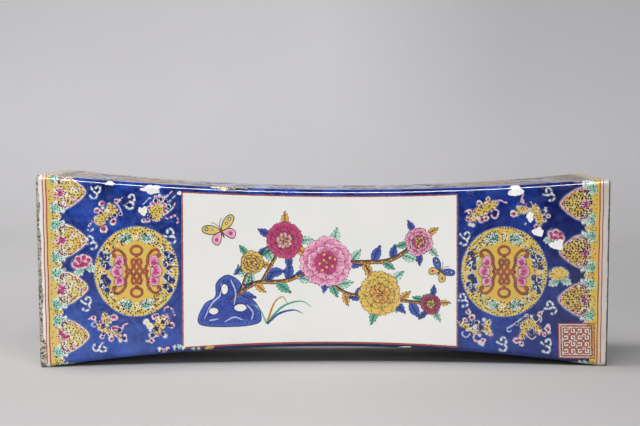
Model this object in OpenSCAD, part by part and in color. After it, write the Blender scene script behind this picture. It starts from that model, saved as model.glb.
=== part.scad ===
// Slab-built porcelain pillow. Four concave long slabs are mitred along their edges and closed by two upright
// end slabs that are pierced with a coin, and clay coils are pressed into every inner corner.
// X runs along the length, the front face looks toward -Y, Z is up, and the origin is on the ground at mid length.

/* [Body] */
// Length over the two ends, at the height of the right end
body_l = 380; // [320:1:440]
// Depth from front to back at the ends
body_d = 124; // [110:1:150]
// Height at the right end
body_h = 124; // [110:1:150]
// How much taller the left end stands, so that the top falls a little toward the right
left_rise = 3.8; // [0:0.1:6]
// How far the front and the back are each drawn in at mid length
waist_depth = 20; // [4:0.5:26]
// How far the top dips at mid length
saddle_depth = 8.9; // [3:0.1:14]
// How far the underside arches at mid length
arch_depth = 10.6; // [3:0.1:14]
// Outward lean of each end, in degrees from upright
end_lean = 0.9; // [0:0.1:2]

/* [Slabs] */
// Thickness of the four long slabs
wall_t = 6.5; // [5:0.1:9]
// Thickness of the two end slabs
end_t = 7; // [5:0.1:9]
// Radius of the rounded long edges
edge_r = 3.6; // [1.5:0.1:4.5]
// Bevel around the outer face of each end
end_bevel = 1.2; // [0.5:0.1:1.4]
// Leg of the clay coils in the inner corners
coil_leg = 8; // [5:0.5:11]

/* [Vents] */
// Diameter of the pierced coin in each end
coin_d = 46; // [36:1:60]
// Side of the square frame in the middle of the coin
coin_frame = 21; // [18:0.5:24]
// Side of the square hole in that frame
coin_hole = 10; // [6:0.5:13]
// Width of the four bridges that carry the frame
coin_bridge = 6; // [4:0.5:8]

/* [Hidden] */
$fn = 64;

// Steps along the length of a long slab, around half of a rounded edge and across a coil's cove
length_steps = 44;
round_steps = 4;
cove_steps = 4;
// Facets of the small corner circles that shape an end slab
corner_fn = 32;
// Distance that cutting shapes run past the faces they cut
overcut = 1;

// Half of the length between the end slabs, at the height of the right end
run_half = body_l/2 - end_t/cos(end_lean);
// Share of that half length that a coil along an end takes up
coil_share = coil_leg/run_half;
// Stations along the length from -1 to 1, with one at the foot of each end coil
stations = [-1,
            for (i = [0:length_steps]) (1 - coil_share)*(2*i/length_steps - 1),
            1];
function coil_station(side) = side*(1 - coil_share);

// Rise of a circular bow at a place u from -1 to 1 along its chord
function bow_radius(rise) = (run_half*run_half + rise*rise)/(2*rise);
function bow(u, rise) = sqrt(pow(bow_radius(rise), 2) - pow(u*run_half, 2)) - bow_radius(rise) + rise;

// Half depth, top height and base height of the outer section at a station
function half_depth(u) = body_d/2 - bow(u, waist_depth);
function top_z(u) = body_h + left_rise*(1 - u)/2 - bow(u, saddle_depth);
function base_z(u) = bow(u, arch_depth);

// Point in space of a section point [y, z] at a station, on rows that lean with the ends
function place(u, p) = [u*(run_half - tan(end_lean)*(body_h - p[1])), p[0], p[1]];

// Corners of a section: sy is -1 at the front and 1 at the back, sz is -1 at the base and 1 at the top
function outer_corner(u, sy, sz) = [sy*half_depth(u), sz > 0 ? top_z(u) : base_z(u)];
function inner_corner(u, sy, sz) = outer_corner(u, sy, sz) - wall_t*[sy, sz];
// Point of a rounded corner, from 0 degrees on the front or back to 90 degrees on the top or base
function round_point(u, sy, sz, a) = outer_corner(u, sy, sz) - edge_r*[sy*(1 - cos(a)), sz*(1 - sin(a))];
function round_run(u, sy, sz, from, to) =
    [for (i = [0:round_steps]) round_point(u, sy, sz, from + (to - from)*i/round_steps)];

// Section of an upright long slab and of a level one, each mitred at 45 degrees through its two corners
function upright_section(u, sy) = [inner_corner(u, sy, 1),
                                   each round_run(u, sy, 1, 45, 0),
                                   each round_run(u, sy, -1, 0, 45),
                                   inner_corner(u, sy, -1)];
function level_section(u, sz) = [inner_corner(u, -1, sz),
                                 each round_run(u, -1, sz, 45, 90),
                                 each round_run(u, 1, sz, 90, 45),
                                 inner_corner(u, 1, sz)];

// Cove of a coil, as distances along its two legs: from the tip of the first leg to the tip of the second
function cove(i) = coil_leg*[1 - sin(90*i/cove_steps), 1 - cos(90*i/cove_steps)];
// Section of a coil along a long seam
function long_coil_section(u, sy, sz) =
    [inner_corner(u, sy, sz),
     for (i = [0:cove_steps]) inner_corner(u, sy, sz) - [sy*cove(i)[0], sz*cove(i)[1]]];

// Solid through rings of points, closed by fans from the first point of the end rings. The two halves of a ring
// split their faces the opposite way, so that mitred neighbours share the same triangles
module loft(rings, flip) {
    n = len(rings[0]);
    last = len(rings) - 1;
    sides = [for (i = [0:last - 1])
             for (j = [0:n - 1])
             let (a = i*n + j, b = i*n + (j + 1)%n, c = b + n, d = a + n)
             each j < n/2 ? [[a, b, c], [a, c, d]] : [[a, b, d], [b, c, d]]];
    caps = [for (j = [1:n - 2]) each [[0, j + 1, j], last*n*[1, 1, 1] + [0, j, j + 1]]];
    faces = concat(sides, caps);
    polyhedron(points = [for (ring = rings) each ring],
               faces = flip ? [for (f = faces) [f[2], f[1], f[0]]] : faces);
}

// Long slab at the front or back, and at the top or base
module upright_slab(sy) {
    rings = [for (u = stations) [for (p = upright_section(u, sy)) place(u, p)]];
    color("#24389c") loft(rings, sy > 0);
}

module level_slab(sz) {
    rings = [for (u = stations) [for (p = level_section(u, sz)) place(u, p)]];
    color("#2b41a6") loft(rings, sz < 0);
}

// Coil in the corner between two long slabs, from end to end
module long_coil(sy, sz) {
    rings = [for (u = stations) [for (p = long_coil_section(u, sy, sz)) place(u, p)]];
    color("#d8cfbd") loft(rings, sy*sz < 0);
}

// Coil in the upright corner between an end and the front or back slab, between the two long coils
module upright_end_coil(side, sy) {
    seat = inner_corner(side, sy, 1)[0];
    foot = inner_corner(coil_station(side), sy, 1)[0];
    heights = [base_z(coil_station(side)) + wall_t + coil_leg,
               top_z(coil_station(side)) - wall_t - coil_leg];
    rings = [for (z = heights)
             [place(side, [seat, z]),
              for (i = [0:cove_steps])
              let (out = cove(i)[0]/coil_leg)
              place(side*(1 - out*coil_share), [seat + (foot - seat)*out - sy*cove(i)[1], z])]];
    color("#d8cfbd") loft(rings, side*sy > 0);
}

// Coil in the level corner between an end and the top or base slab, between the two long coils
module level_end_coil(side, sz) {
    seat = inner_corner(side, 1, sz)[1];
    foot = inner_corner(coil_station(side), 1, sz)[1];
    y_half = half_depth(coil_station(side)) - wall_t - coil_leg;
    rings = [for (y = [-y_half, y_half])
             [place(side, [y, seat]),
              for (i = [0:cove_steps])
              let (out = cove(i)[0]/coil_leg)
              place(side*(1 - out*coil_share), [y, seat + (foot - seat)*out - sz*cove(i)[1]])]];
    color("#d8cfbd") loft(rings, side*sz < 0);
}

// Outline of an end slab, drawn in by an inset: its top edge is at 0 and it hangs down along local Y
module end_outline(height, inset) {
    h = height/cos(end_lean) + end_t*tan(end_lean);
    r = edge_r - inset/2;
    hull()
        for (sx = [-1, 1], top = [0, 1])
            translate([sx*(body_d/2 - inset - r), top*(2*inset + 2*r - h) - inset - r])
                circle(r, $fn = corner_fn);
}

// Coin openings: a square hole and four round segments, with bridges from the corners of the frame
module coin_openings() {
    square(coin_hole, center = true);
    difference() {
        circle(d = coin_d);
        square(coin_frame, center = true);
        for (turn = [45, 135]) rotate(turn) square([coin_d + overcut, coin_bridge], center = true);
    }
}

// End slab in its leaning place, with level cuts at the ground and at the top
module end_slab(side) {
    height = top_z(side);
    reach = body_l/2 + tan(end_lean)*(height - body_h);
    color("#e8e8e1")
        mirror([side < 0 ? 1 : 0, 0, 0])
            intersection() {
                translate([reach, 0, height])
                    rotate([0, end_lean, 0])
                        rotate([90, 0, 90])
                            translate([0, 0, -end_t])
                                difference() {
                                    hull() {
                                        linear_extrude(end_t - end_bevel) end_outline(height, 0);
                                        linear_extrude(end_t) end_outline(height, end_bevel);
                                    }
                                    translate([0, -height/2, -overcut])
                                        linear_extrude(end_t + 2*overcut) coin_openings();
                                }
                translate([0, -body_d/2 - overcut, 0])
                    cube([reach + overcut, body_d + 2*overcut, height]);
            }
}

upright_slab(-1);  // front_wall
upright_slab(1);  // back_wall
level_slab(1);  // top_wall
level_slab(-1);  // base_wall
end_slab(-1);  // left_end
end_slab(1);  // right_end
long_coil(-1, 1);  // front_top_coil
long_coil(1, 1);  // back_top_coil
long_coil(-1, -1);  // front_base_coil
long_coil(1, -1);  // back_base_coil
upright_end_coil(-1, -1);  // left_front_coil
upright_end_coil(-1, 1);  // left_back_coil
level_end_coil(-1, 1);  // left_top_coil
level_end_coil(-1, -1);  // left_base_coil
upright_end_coil(1, -1);  // right_front_coil
upright_end_coil(1, 1);  // right_back_coil
level_end_coil(1, 1);  // right_top_coil
level_end_coil(1, -1);  // right_base_coil
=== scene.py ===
"""Looks of a waisted porcelain pillow: glazed slabs, painted enamels, a floor, soft light and the camera."""
import math
import random

import bpy
import numpy as np
from mathutils import Matrix, Vector
from mathutils.geometry import delaunay_2d_cdt


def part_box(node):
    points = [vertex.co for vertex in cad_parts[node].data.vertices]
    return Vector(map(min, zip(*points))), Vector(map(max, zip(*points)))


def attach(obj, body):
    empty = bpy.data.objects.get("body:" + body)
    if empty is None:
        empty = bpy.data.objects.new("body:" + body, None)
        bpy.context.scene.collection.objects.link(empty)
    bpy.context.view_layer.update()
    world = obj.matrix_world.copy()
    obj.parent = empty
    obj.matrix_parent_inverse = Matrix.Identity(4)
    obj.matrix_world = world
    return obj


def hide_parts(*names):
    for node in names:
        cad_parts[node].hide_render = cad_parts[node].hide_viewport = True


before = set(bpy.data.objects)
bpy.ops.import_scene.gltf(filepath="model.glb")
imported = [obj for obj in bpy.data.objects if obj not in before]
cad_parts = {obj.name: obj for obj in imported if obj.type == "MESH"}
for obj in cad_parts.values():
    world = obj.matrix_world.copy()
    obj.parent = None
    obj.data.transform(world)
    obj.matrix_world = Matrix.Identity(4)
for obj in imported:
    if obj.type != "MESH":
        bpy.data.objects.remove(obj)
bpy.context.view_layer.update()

# Sizes of the body in millimetres: the slabs' own, then those read from the frame
MM = 0.001
WALL = 6.5
END = 7.0
EDGE = 3.6
BEVEL = 1.2
# Length of the skin around the rounding of a long edge
ROUNDING = EDGE*math.pi/2
SIDE_NAME = {-1: "left", 1: "right"}


def node_box(node):
    """Low and high corner of a node in millimetres."""
    return [Vector(corner)/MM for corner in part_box(node)]


TOP_LOW, TOP_HIGH = node_box("top_wall")
FRONT_LOW, FRONT_HIGH = node_box("front_wall")
BASE_HIGH = node_box("base_wall")[1]
HALF_LENGTH = node_box("right_end")[1].x
END_HEIGHT = {side: node_box(f"{name}_end")[1].z for side, name in SIDE_NAME.items()}
HEIGHT = END_HEIGHT[1]
RISE = END_HEIGHT[-1] - HEIGHT
DEPTH = -2*FRONT_LOW.y
RUN = TOP_HIGH.x
WAIST = FRONT_HIGH.y - FRONT_LOW.y - WALL
ARCH = BASE_HIGH.z - WALL
DIP = TOP_HIGH.z - TOP_LOW.z - WALL - RISE/2
SADDLE = DIP - RISE*RISE/(16*DIP)
LEAN = (RUN - BASE_HIGH.x)/(HEIGHT - WALL)

# Coin vent in each end: disc, square frame, square hole and the bridges that carry the frame
COIN_D = 46.0
COIN_FRAME = 21.0
COIN_HOLE = 10.0
COIN_BRIDGE = 6.0

# The glaze lies this far inside the clay's outline, so that the raised enamels end at the outline
COAT = 0.3
# Height of the lowest enamel over the glaze and the step from one painted layer to the next
FIRST_LAYER = 0.03
LAYER_STEP = 0.04
# How far the rim of a stroke and that of a filled area sink below their layer
STROKE_DROP = 0.02
FILL_DROP = 0.025
# Distance between the rows of a staggered grid, for a distance of 1 along them
ROW_SPACING = 0.87
# Steps of a long slab's mesh along half of its length, across half of its flat and around half of a rounding
LENGTH_STEPS = 60
FLAT_STEPS = 14
ROUND_STEPS = 6

rng = random.Random(11)


def jitter(spread):
    """Random offset to either side."""
    return rng.uniform(-spread, spread)


# Form of the body

def bow(u, rise):
    """Rise of a circular bow at a place u from -1 to 1 along its chord."""
    radius = (RUN*RUN + rise*rise)/(2*rise)
    return math.sqrt(radius*radius - (u*RUN)**2) - radius + rise


def section(u):
    """Half depth, half height and middle height of the glazed section at a station."""
    low = COAT + bow(u, ARCH)
    high = HEIGHT + RISE*(1 - u)/2 - COAT - bow(u, SADDLE)
    return DEPTH/2 - COAT - bow(u, WAIST), (high - low)/2, (high + low)/2


def upright(face):
    return face in ("front", "back")


def row_limit(face, w):
    """Half length of a long face along a row that leans with the ends."""
    z = w if upright(face) else (HEIGHT if face == "top" else 0.0)
    return RUN - LEAN*(HEIGHT - max(0.0, min(HEIGHT + RISE, z)))


def skin(face, x, w, lift=0.0):
    """Point in metres on a long face. w is the height on the front and back, and the depth on the top and
    base. Past a long edge it follows the rounding, and past the slab's end it runs on along the end slab."""
    u = max(-1.0, min(1.0, x/row_limit(face, w)))
    half_y, half_z, mid = section(u)
    reach, out = (half_z, half_y) if upright(face) else (half_y, half_z)
    across = w - mid if upright(face) else w
    side = 1.0 if across > 0 else -1.0
    over = abs(across) - (reach - EDGE)
    if over <= 0:
        out += lift
    elif over < ROUNDING:
        across = side*(reach - EDGE + (EDGE + lift)*math.sin(over/EDGE))
        out += (EDGE + lift)*math.cos(over/EDGE) - EDGE
    else:
        across = side*(reach + lift)
        out -= EDGE + over - ROUNDING
    if face in ("front", "base"):
        out = -out
    y, z = (out, across) if upright(face) else (across, out)
    return Vector((x, y, mid + z))*MM


def skin_normal(face, x, w):
    """Outward direction of a long face, from small steps along it."""
    limit = row_limit(face, w)*0.999
    x = max(-limit, min(limit, x))
    along = skin(face, x + 0.1, w) - skin(face, x - 0.1, w)
    across = skin(face, x, w + 0.05) - skin(face, x, w - 0.05)
    normal = along.cross(across).normalized()
    return normal if face in ("front", "top") else -normal


def mitre_span(face, u):
    """Distance along the skin from the middle of a face to its mitred edge."""
    half_y, half_z, _ = section(u)
    return (half_z if upright(face) else half_y) - EDGE + ROUNDING/2


def centre(face, u):
    """Middle of a face at a station, in the face's own height or depth."""
    return section(u)[2] if upright(face) else 0.0


def add_object(name, data):
    """Object for a mesh, a lamp or a camera, in the scene."""
    made = bpy.data.objects.new(name, data)
    bpy.context.scene.collection.objects.link(made)
    return made


def smooth_mesh(name, points, faces, material):
    mesh = bpy.data.meshes.new(name)
    mesh.from_pydata([tuple(p) for p in points], [], faces)
    mesh.shade_smooth()
    mesh.materials.append(material)
    return mesh


def make_piece(name, points, faces, material, shade=None, normals=None):
    """Mesh object that rides on the body, with an optional shade and normal for every point."""
    mesh = smooth_mesh(name, points, faces, material)
    if shade is not None:
        mesh.attributes.new("shade", "FLOAT", "POINT").data.foreach_set("value", shade)
    if normals is not None:
        mesh.normals_split_custom_set_from_vertices([tuple(n) for n in normals])
    piece = add_object(name, mesh)
    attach(piece, "root")
    return piece


def grid_faces(rows, columns, flip=False, closed=False):
    """Quads of a grid of points that is stored row by row. A closed grid joins its last row to its first."""
    faces = []
    for i in range(rows if closed else rows - 1):
        a, b = i*columns, (i + 1) % rows*columns
        for j in range(columns - 1):
            quad = (a + j, a + j + 1, b + j + 1, b + j)
            faces.append(quad[::-1] if flip else quad)
    return faces


def skin_steps(face, u):
    """Distances along the skin from the middle of a face to the points of a row, from mitre to mitre."""
    straight = mitre_span(face, u) - ROUNDING/2
    arcs = [i/ROUND_STEPS*math.pi/4 for i in range(1, ROUND_STEPS + 1)]
    flats = [i/FLAT_STEPS for i in range(-FLAT_STEPS, FLAT_STEPS + 1)]
    steps = [-straight - EDGE*a for a in reversed(arcs)] + [straight*t for t in flats]
    return steps + [straight + EDGE*a for a in arcs]


def inner_corner(face, u, side):
    """Inner edge of a long slab's mitre at a station, on the low or the high side of its face."""
    half_y, half_z, mid = section(u)
    depth = WALL - COAT
    way = 1 if face in ("back", "top") else -1
    side_y, side_z = (way, side) if upright(face) else (side, way)
    y, z = side_y*(half_y - depth), mid + side_z*(half_z - depth)
    return Vector((u*(RUN - LEAN*(HEIGHT - z)), y, z))*MM


def long_slab(face, material):
    """Closed mesh of one long slab: the rounded outer skin, the mitres, the inside and the two ends."""
    stations = [i/LENGTH_STEPS for i in range(-LENGTH_STEPS, LENGTH_STEPS + 1)]
    points, normals = [], []
    for u in stations:
        for step in skin_steps(face, u):
            w = centre(face, u) + step
            x = u*row_limit(face, w)
            points.append(skin(face, x, w))
            normals.append(skin_normal(face, x, w))
    rows, first = len(stations), len(points)
    columns = first//rows
    flip = face in ("back", "base")
    faces = grid_faces(rows, columns, not flip)
    for row, u in enumerate(stations):
        for edge, side in ((row*columns, -1), (row*columns + columns - 1, 1)):
            points += [points[edge].copy(), inner_corner(face, u, side)]
    for i in range(rows - 1):
        a = first + 4*i
        b = a + 4
        quads = ((a, a + 1, b + 1, b), (a + 1, a + 3, b + 3, b + 1), (a + 3, a + 2, b + 2, b + 3))
        faces += [q[::-1] if flip else q for q in quads]
    for row, turned in ((0, False), (rows - 1, True)):
        a = first + 4*row
        loop = (a + 1, *range(row*columns, row*columns + columns), a + 3)
        faces.append(loop[::-1] if turned == flip else loop)
    normals += [Vector((0, 0, 0))]*(len(points) - first)
    piece = make_piece(f"{face}_slab", points, faces, material, normals=normals)
    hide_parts(f"{face}_wall")


def rounded_square(half_w, low, high, radius):
    """Points of an upright rounded rectangle, and their outward directions."""
    steps = 8
    low, high = low + radius, high - radius
    points, directions = [], []
    for side, z, start in ((1, high, 0), (-1, high, 90), (-1, low, 180), (1, low, 270)):
        middle = Vector((side*(half_w - radius), z))
        for i in range(steps + 1):
            a = math.radians(start + 90*i/steps)
            directions.append(Vector((math.cos(a), math.sin(a))))
            points.append(middle + directions[-1]*radius)
    return points, directions


def coin_loops():
    """Loops of the coin's square hole and its four round segments, about the coin's middle."""
    reach = COIN_D/2
    inset = COIN_BRIDGE/math.sqrt(2)
    frame_half = COIN_FRAME/2
    arc_x = inset/2 + math.sqrt(reach*reach/2 - inset*inset/4)
    arc_end = math.atan2(arc_x - inset, arc_x)
    inner = frame_half - inset
    segment = [Vector((frame_half, inner*t)) for t in (1.0, 0.5, 0.0, -0.5, -1.0)]
    for t in (0.33, 0.67):
        segment.append(Vector((frame_half, -inner)).lerp(Vector((arc_x, inset - arc_x)), t))
    for i in range(17):
        a = arc_end*(i/8 - 1)
        segment.append(Vector((math.cos(a), math.sin(a)))*reach)
    for t in (0.67, 0.33):
        segment.append(Vector((frame_half, inner)).lerp(Vector((arc_x, arc_x - inset)), t))
    half = COIN_HOLE/2
    corners = [Vector(c)*half for c in ((1, 1), (-1, 1), (-1, -1), (1, -1))]
    hole = [a.lerp(b, i/4) for a, b in zip(corners, corners[1:] + corners[:1]) for i in range(4)]
    loops = [hole[::-1]]
    for turn in range(4):
        spin = Matrix.Rotation(turn*math.pi/2, 2)
        loops.append([spin @ p for p in segment])
    return loops


def loop_directions(loop):
    """Unit directions at a loop's points, square to the loop, to the left of its course."""
    out = []
    for before, after in zip(loop[-1:] + loop[:-1], loop[1:] + loop[:1]):
        run = (after - before).normalized()
        out.append(Vector((-run.y, run.x)))
    return out


def inside(points, loop):
    """Which points lie within a closed loop, as an array."""
    p, a = np.array(points), np.array(loop)
    b = np.roll(a, -1, axis=0)
    crossing = (a[:, 1] > p[:, None, 1]) != (b[:, 1] > p[:, None, 1])
    rise = np.where(b[:, 1] == a[:, 1], 1.0, b[:, 1] - a[:, 1])
    x = a[:, 0] + (p[:, None, 1] - a[:, 1])/rise*(b[:, 0] - a[:, 0])
    return (crossing & (p[:, None, 0] < x)).sum(axis=1) % 2 == 1


def edge_distance(points, loop):
    """Distance of points from a closed loop, as an array."""
    p, a = np.array(points)[:, None, :], np.array(loop)[None]
    run = np.roll(a, -1, axis=1) - a
    t = np.clip(((p - a)*run).sum(axis=2)/np.maximum((run*run).sum(axis=2), 1e-9), 0, 1)
    return np.sqrt((((p - a) - run*t[..., None])**2).sum(axis=2)).min(axis=1)


def fill_loops(loops, extra=()):
    """Points and triangles of the area between loops: the first is the border and the others are holes."""
    points, edges = [], []
    for loop in loops:
        start = len(points)
        points += [Vector(p[:2]) for p in loop]
        edges += [(start + i, start + (i + 1) % len(loop)) for i in range(len(loop))]
    points += [Vector(p[:2]) for p in extra]
    found, _, triangles, *_ = delaunay_2d_cdt(points, edges, [], 0, 1e-6)
    centres = [sum((found[i] for i in t), Vector((0, 0)))/3 for t in triangles]
    kept = sum(inside(centres, loop).astype(int) for loop in loops) % 2 == 1
    faces = []
    for triangle, keep in zip(triangles, kept):
        if keep:
            a, b, c = (found[i] for i in triangle)
            turned = (b - a).cross(c - a) < 0
            faces.append(tuple(triangle[::-1]) if turned else tuple(triangle))
    return found, faces


def end_point(side, p, depth):
    """Point in metres at a depth behind the outer face of an end, from its place across and up the face."""
    return Vector((side*(HALF_LENGTH - COAT - LEAN*(HEIGHT - p.y) - depth), p.x, p.y))*MM


class EndMesh:
    """Points, normals and faces of an end slab, in bands along its edges and flat caps between them."""

    def __init__(self, side):
        self.side = side
        self.out = Vector((side, 0, 0))
        self.points, self.normals, self.faces = [], [], []

    def add(self, face, way):
        self.faces.append(face if way > 0 else face[::-1])

    def band(self, rings):
        """Quads between rings of (points, outward directions, depth, tilt toward the outer face)."""
        count = len(rings[0][0])
        start = len(self.points)
        for loop, directions, depth, tilt in rings:
            for p, d in zip(loop, directions):
                self.points.append(end_point(self.side, p, depth))
                self.normals.append(Vector((0, d.x, d.y))*math.cos(tilt) + self.out*math.sin(tilt))
        for i in range(len(rings) - 1):
            for j in range(count):
                a, b = start + i*count + j, start + i*count + (j + 1) % count
                self.add((a, b, b + count, a + count), self.side)

    def cap(self, loops, depth, direction):
        """Flat face between loops, which looks outward or inward."""
        found, triangles = fill_loops(loops)
        start = len(self.points)
        self.points += [end_point(self.side, p, depth) for p in found]
        self.normals += [self.out*direction]*len(found)
        for triangle in triangles:
            self.add(tuple(start + i for i in triangle), self.side*direction)


# Tilts of the rings around a rounded edge, from the edge's side to the outer face
TILTS = [math.radians(a) for a in (0, 18, 36, 54, 72, 90)]
# Radius of the soft lip around the openings of a vent
LIP = 0.8


def rim_rings(side):
    """Rings along the outer rim of an end slab, from back to front."""
    half_w, high = DEPTH/2 - COAT, END_HEIGHT[side] - COAT
    rings = [(*rounded_square(half_w, 0.0, high, EDGE), END - COAT, 0.0)]
    for a in TILTS:
        cut = BEVEL*(1 - math.cos(a))
        loop = rounded_square(half_w - cut, cut, high - cut, EDGE - cut/2)
        rings.append((*loop, BEVEL*(1 - math.sin(a)), a))
    return rings


def vent_rings(side, loop):
    """Rings along an opening of an end's vent, from back to front."""
    middle = Vector((0, END_HEIGHT[side]/2))
    directions = loop_directions(loop)
    rings = [([middle + p for p in loop], directions, END - COAT, 0.0)]
    for a in TILTS:
        grown = [middle + p - d*LIP*(1 - math.cos(a)) for p, d in zip(loop, directions)]
        rings.append((grown, directions, LIP*(1 - math.sin(a)), a))
    return rings


def end_slab(side, material):
    """Closed mesh of an end slab, with a rounded outer rim and the pierced coin."""
    mesh = EndMesh(side)
    bands = [rim_rings(side)] + [vent_rings(side, loop) for loop in coin_loops()]
    for rings in bands:
        mesh.band(rings)
    mesh.cap([rings[-1][0] for rings in bands], 0.0, 1)
    mesh.cap([rings[0][0] for rings in bands], END - COAT, -1)
    name = SIDE_NAME[side]
    piece = make_piece(f"{name}_end_slab", mesh.points, mesh.faces, material, normals=mesh.normals)
    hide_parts(f"{name}_end")


# Painting

coats = {}


def coat(face, enamel):
    """Points, faces and shades of one enamel on one face."""
    return coats.setdefault((face, enamel), ([], [], []))


def lift_of(level):
    return FIRST_LAYER + LAYER_STEP*level


def curve(points, closed=False, step=0.9):
    """Points along a smooth curve through the given ones."""
    knots = [Vector(p[:2]) for p in points]
    count = len(knots)
    path = []
    for i in range(count if closed else count - 1):
        b, c = knots[i], knots[(i + 1) % count]
        a = knots[i - 1] if closed or i > 0 else 2*b - c
        d = knots[(i + 2) % count] if closed or i + 2 < count else 2*c - b
        steps = max(2, round((c - b).length/step))
        for k in range(steps):
            t = k/steps
            path.append((2*b + (c - a)*t + (2*a - 5*b + 4*c - d)*t*t + (3*b - a - 3*c + d)*t**3)/2)
    return path if closed else path + [knots[-1]]


def mirrored(half):
    """Closed outline of a shape that is even about its X axis, from the points of its upper half."""
    return list(half) + [(x, -y) for x, y in reversed(half) if y != 0]


def scaled(shape, length, width):
    return [(x*length, y*width) for x, y in shape]


def oval(rx, ry, count):
    """Knots of an oval."""
    angles = [2*math.pi*i/count for i in range(count)]
    return [(rx*math.cos(a), ry*math.sin(a)) for a in angles]


def extent(loop):
    """Low and high corner of a loop."""
    return [[pick(p[k] for p in loop) for k in (0, 1)] for pick in (min, max)]


# Faces this close to a rounded edge are split until they are this short across it, in so many rounds at most
ROUNDING_MARGIN = 0.3
SPLIT_LENGTH = 0.8
SPLIT_ROUNDS = 7


def split_triangle(corners, middles):
    """Triangles in place of one, from its corners and the middle of each side, or None for a whole side."""
    (a, b, c), (ab, bc, ca) = corners, middles
    if None not in middles:
        return [(a, ab, ca), (ab, b, bc), (ca, bc, c), (ab, bc, ca)]
    loop = [i for i in (a, ab, b, bc, c, ca) if i is not None]
    start = next((k for k, i in enumerate(loop) if i in middles), 0)
    loop = loop[start:] + loop[:start]
    return [(loop[0], loop[k], loop[k + 1]) for k in range(1, len(loop) - 1)]


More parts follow.
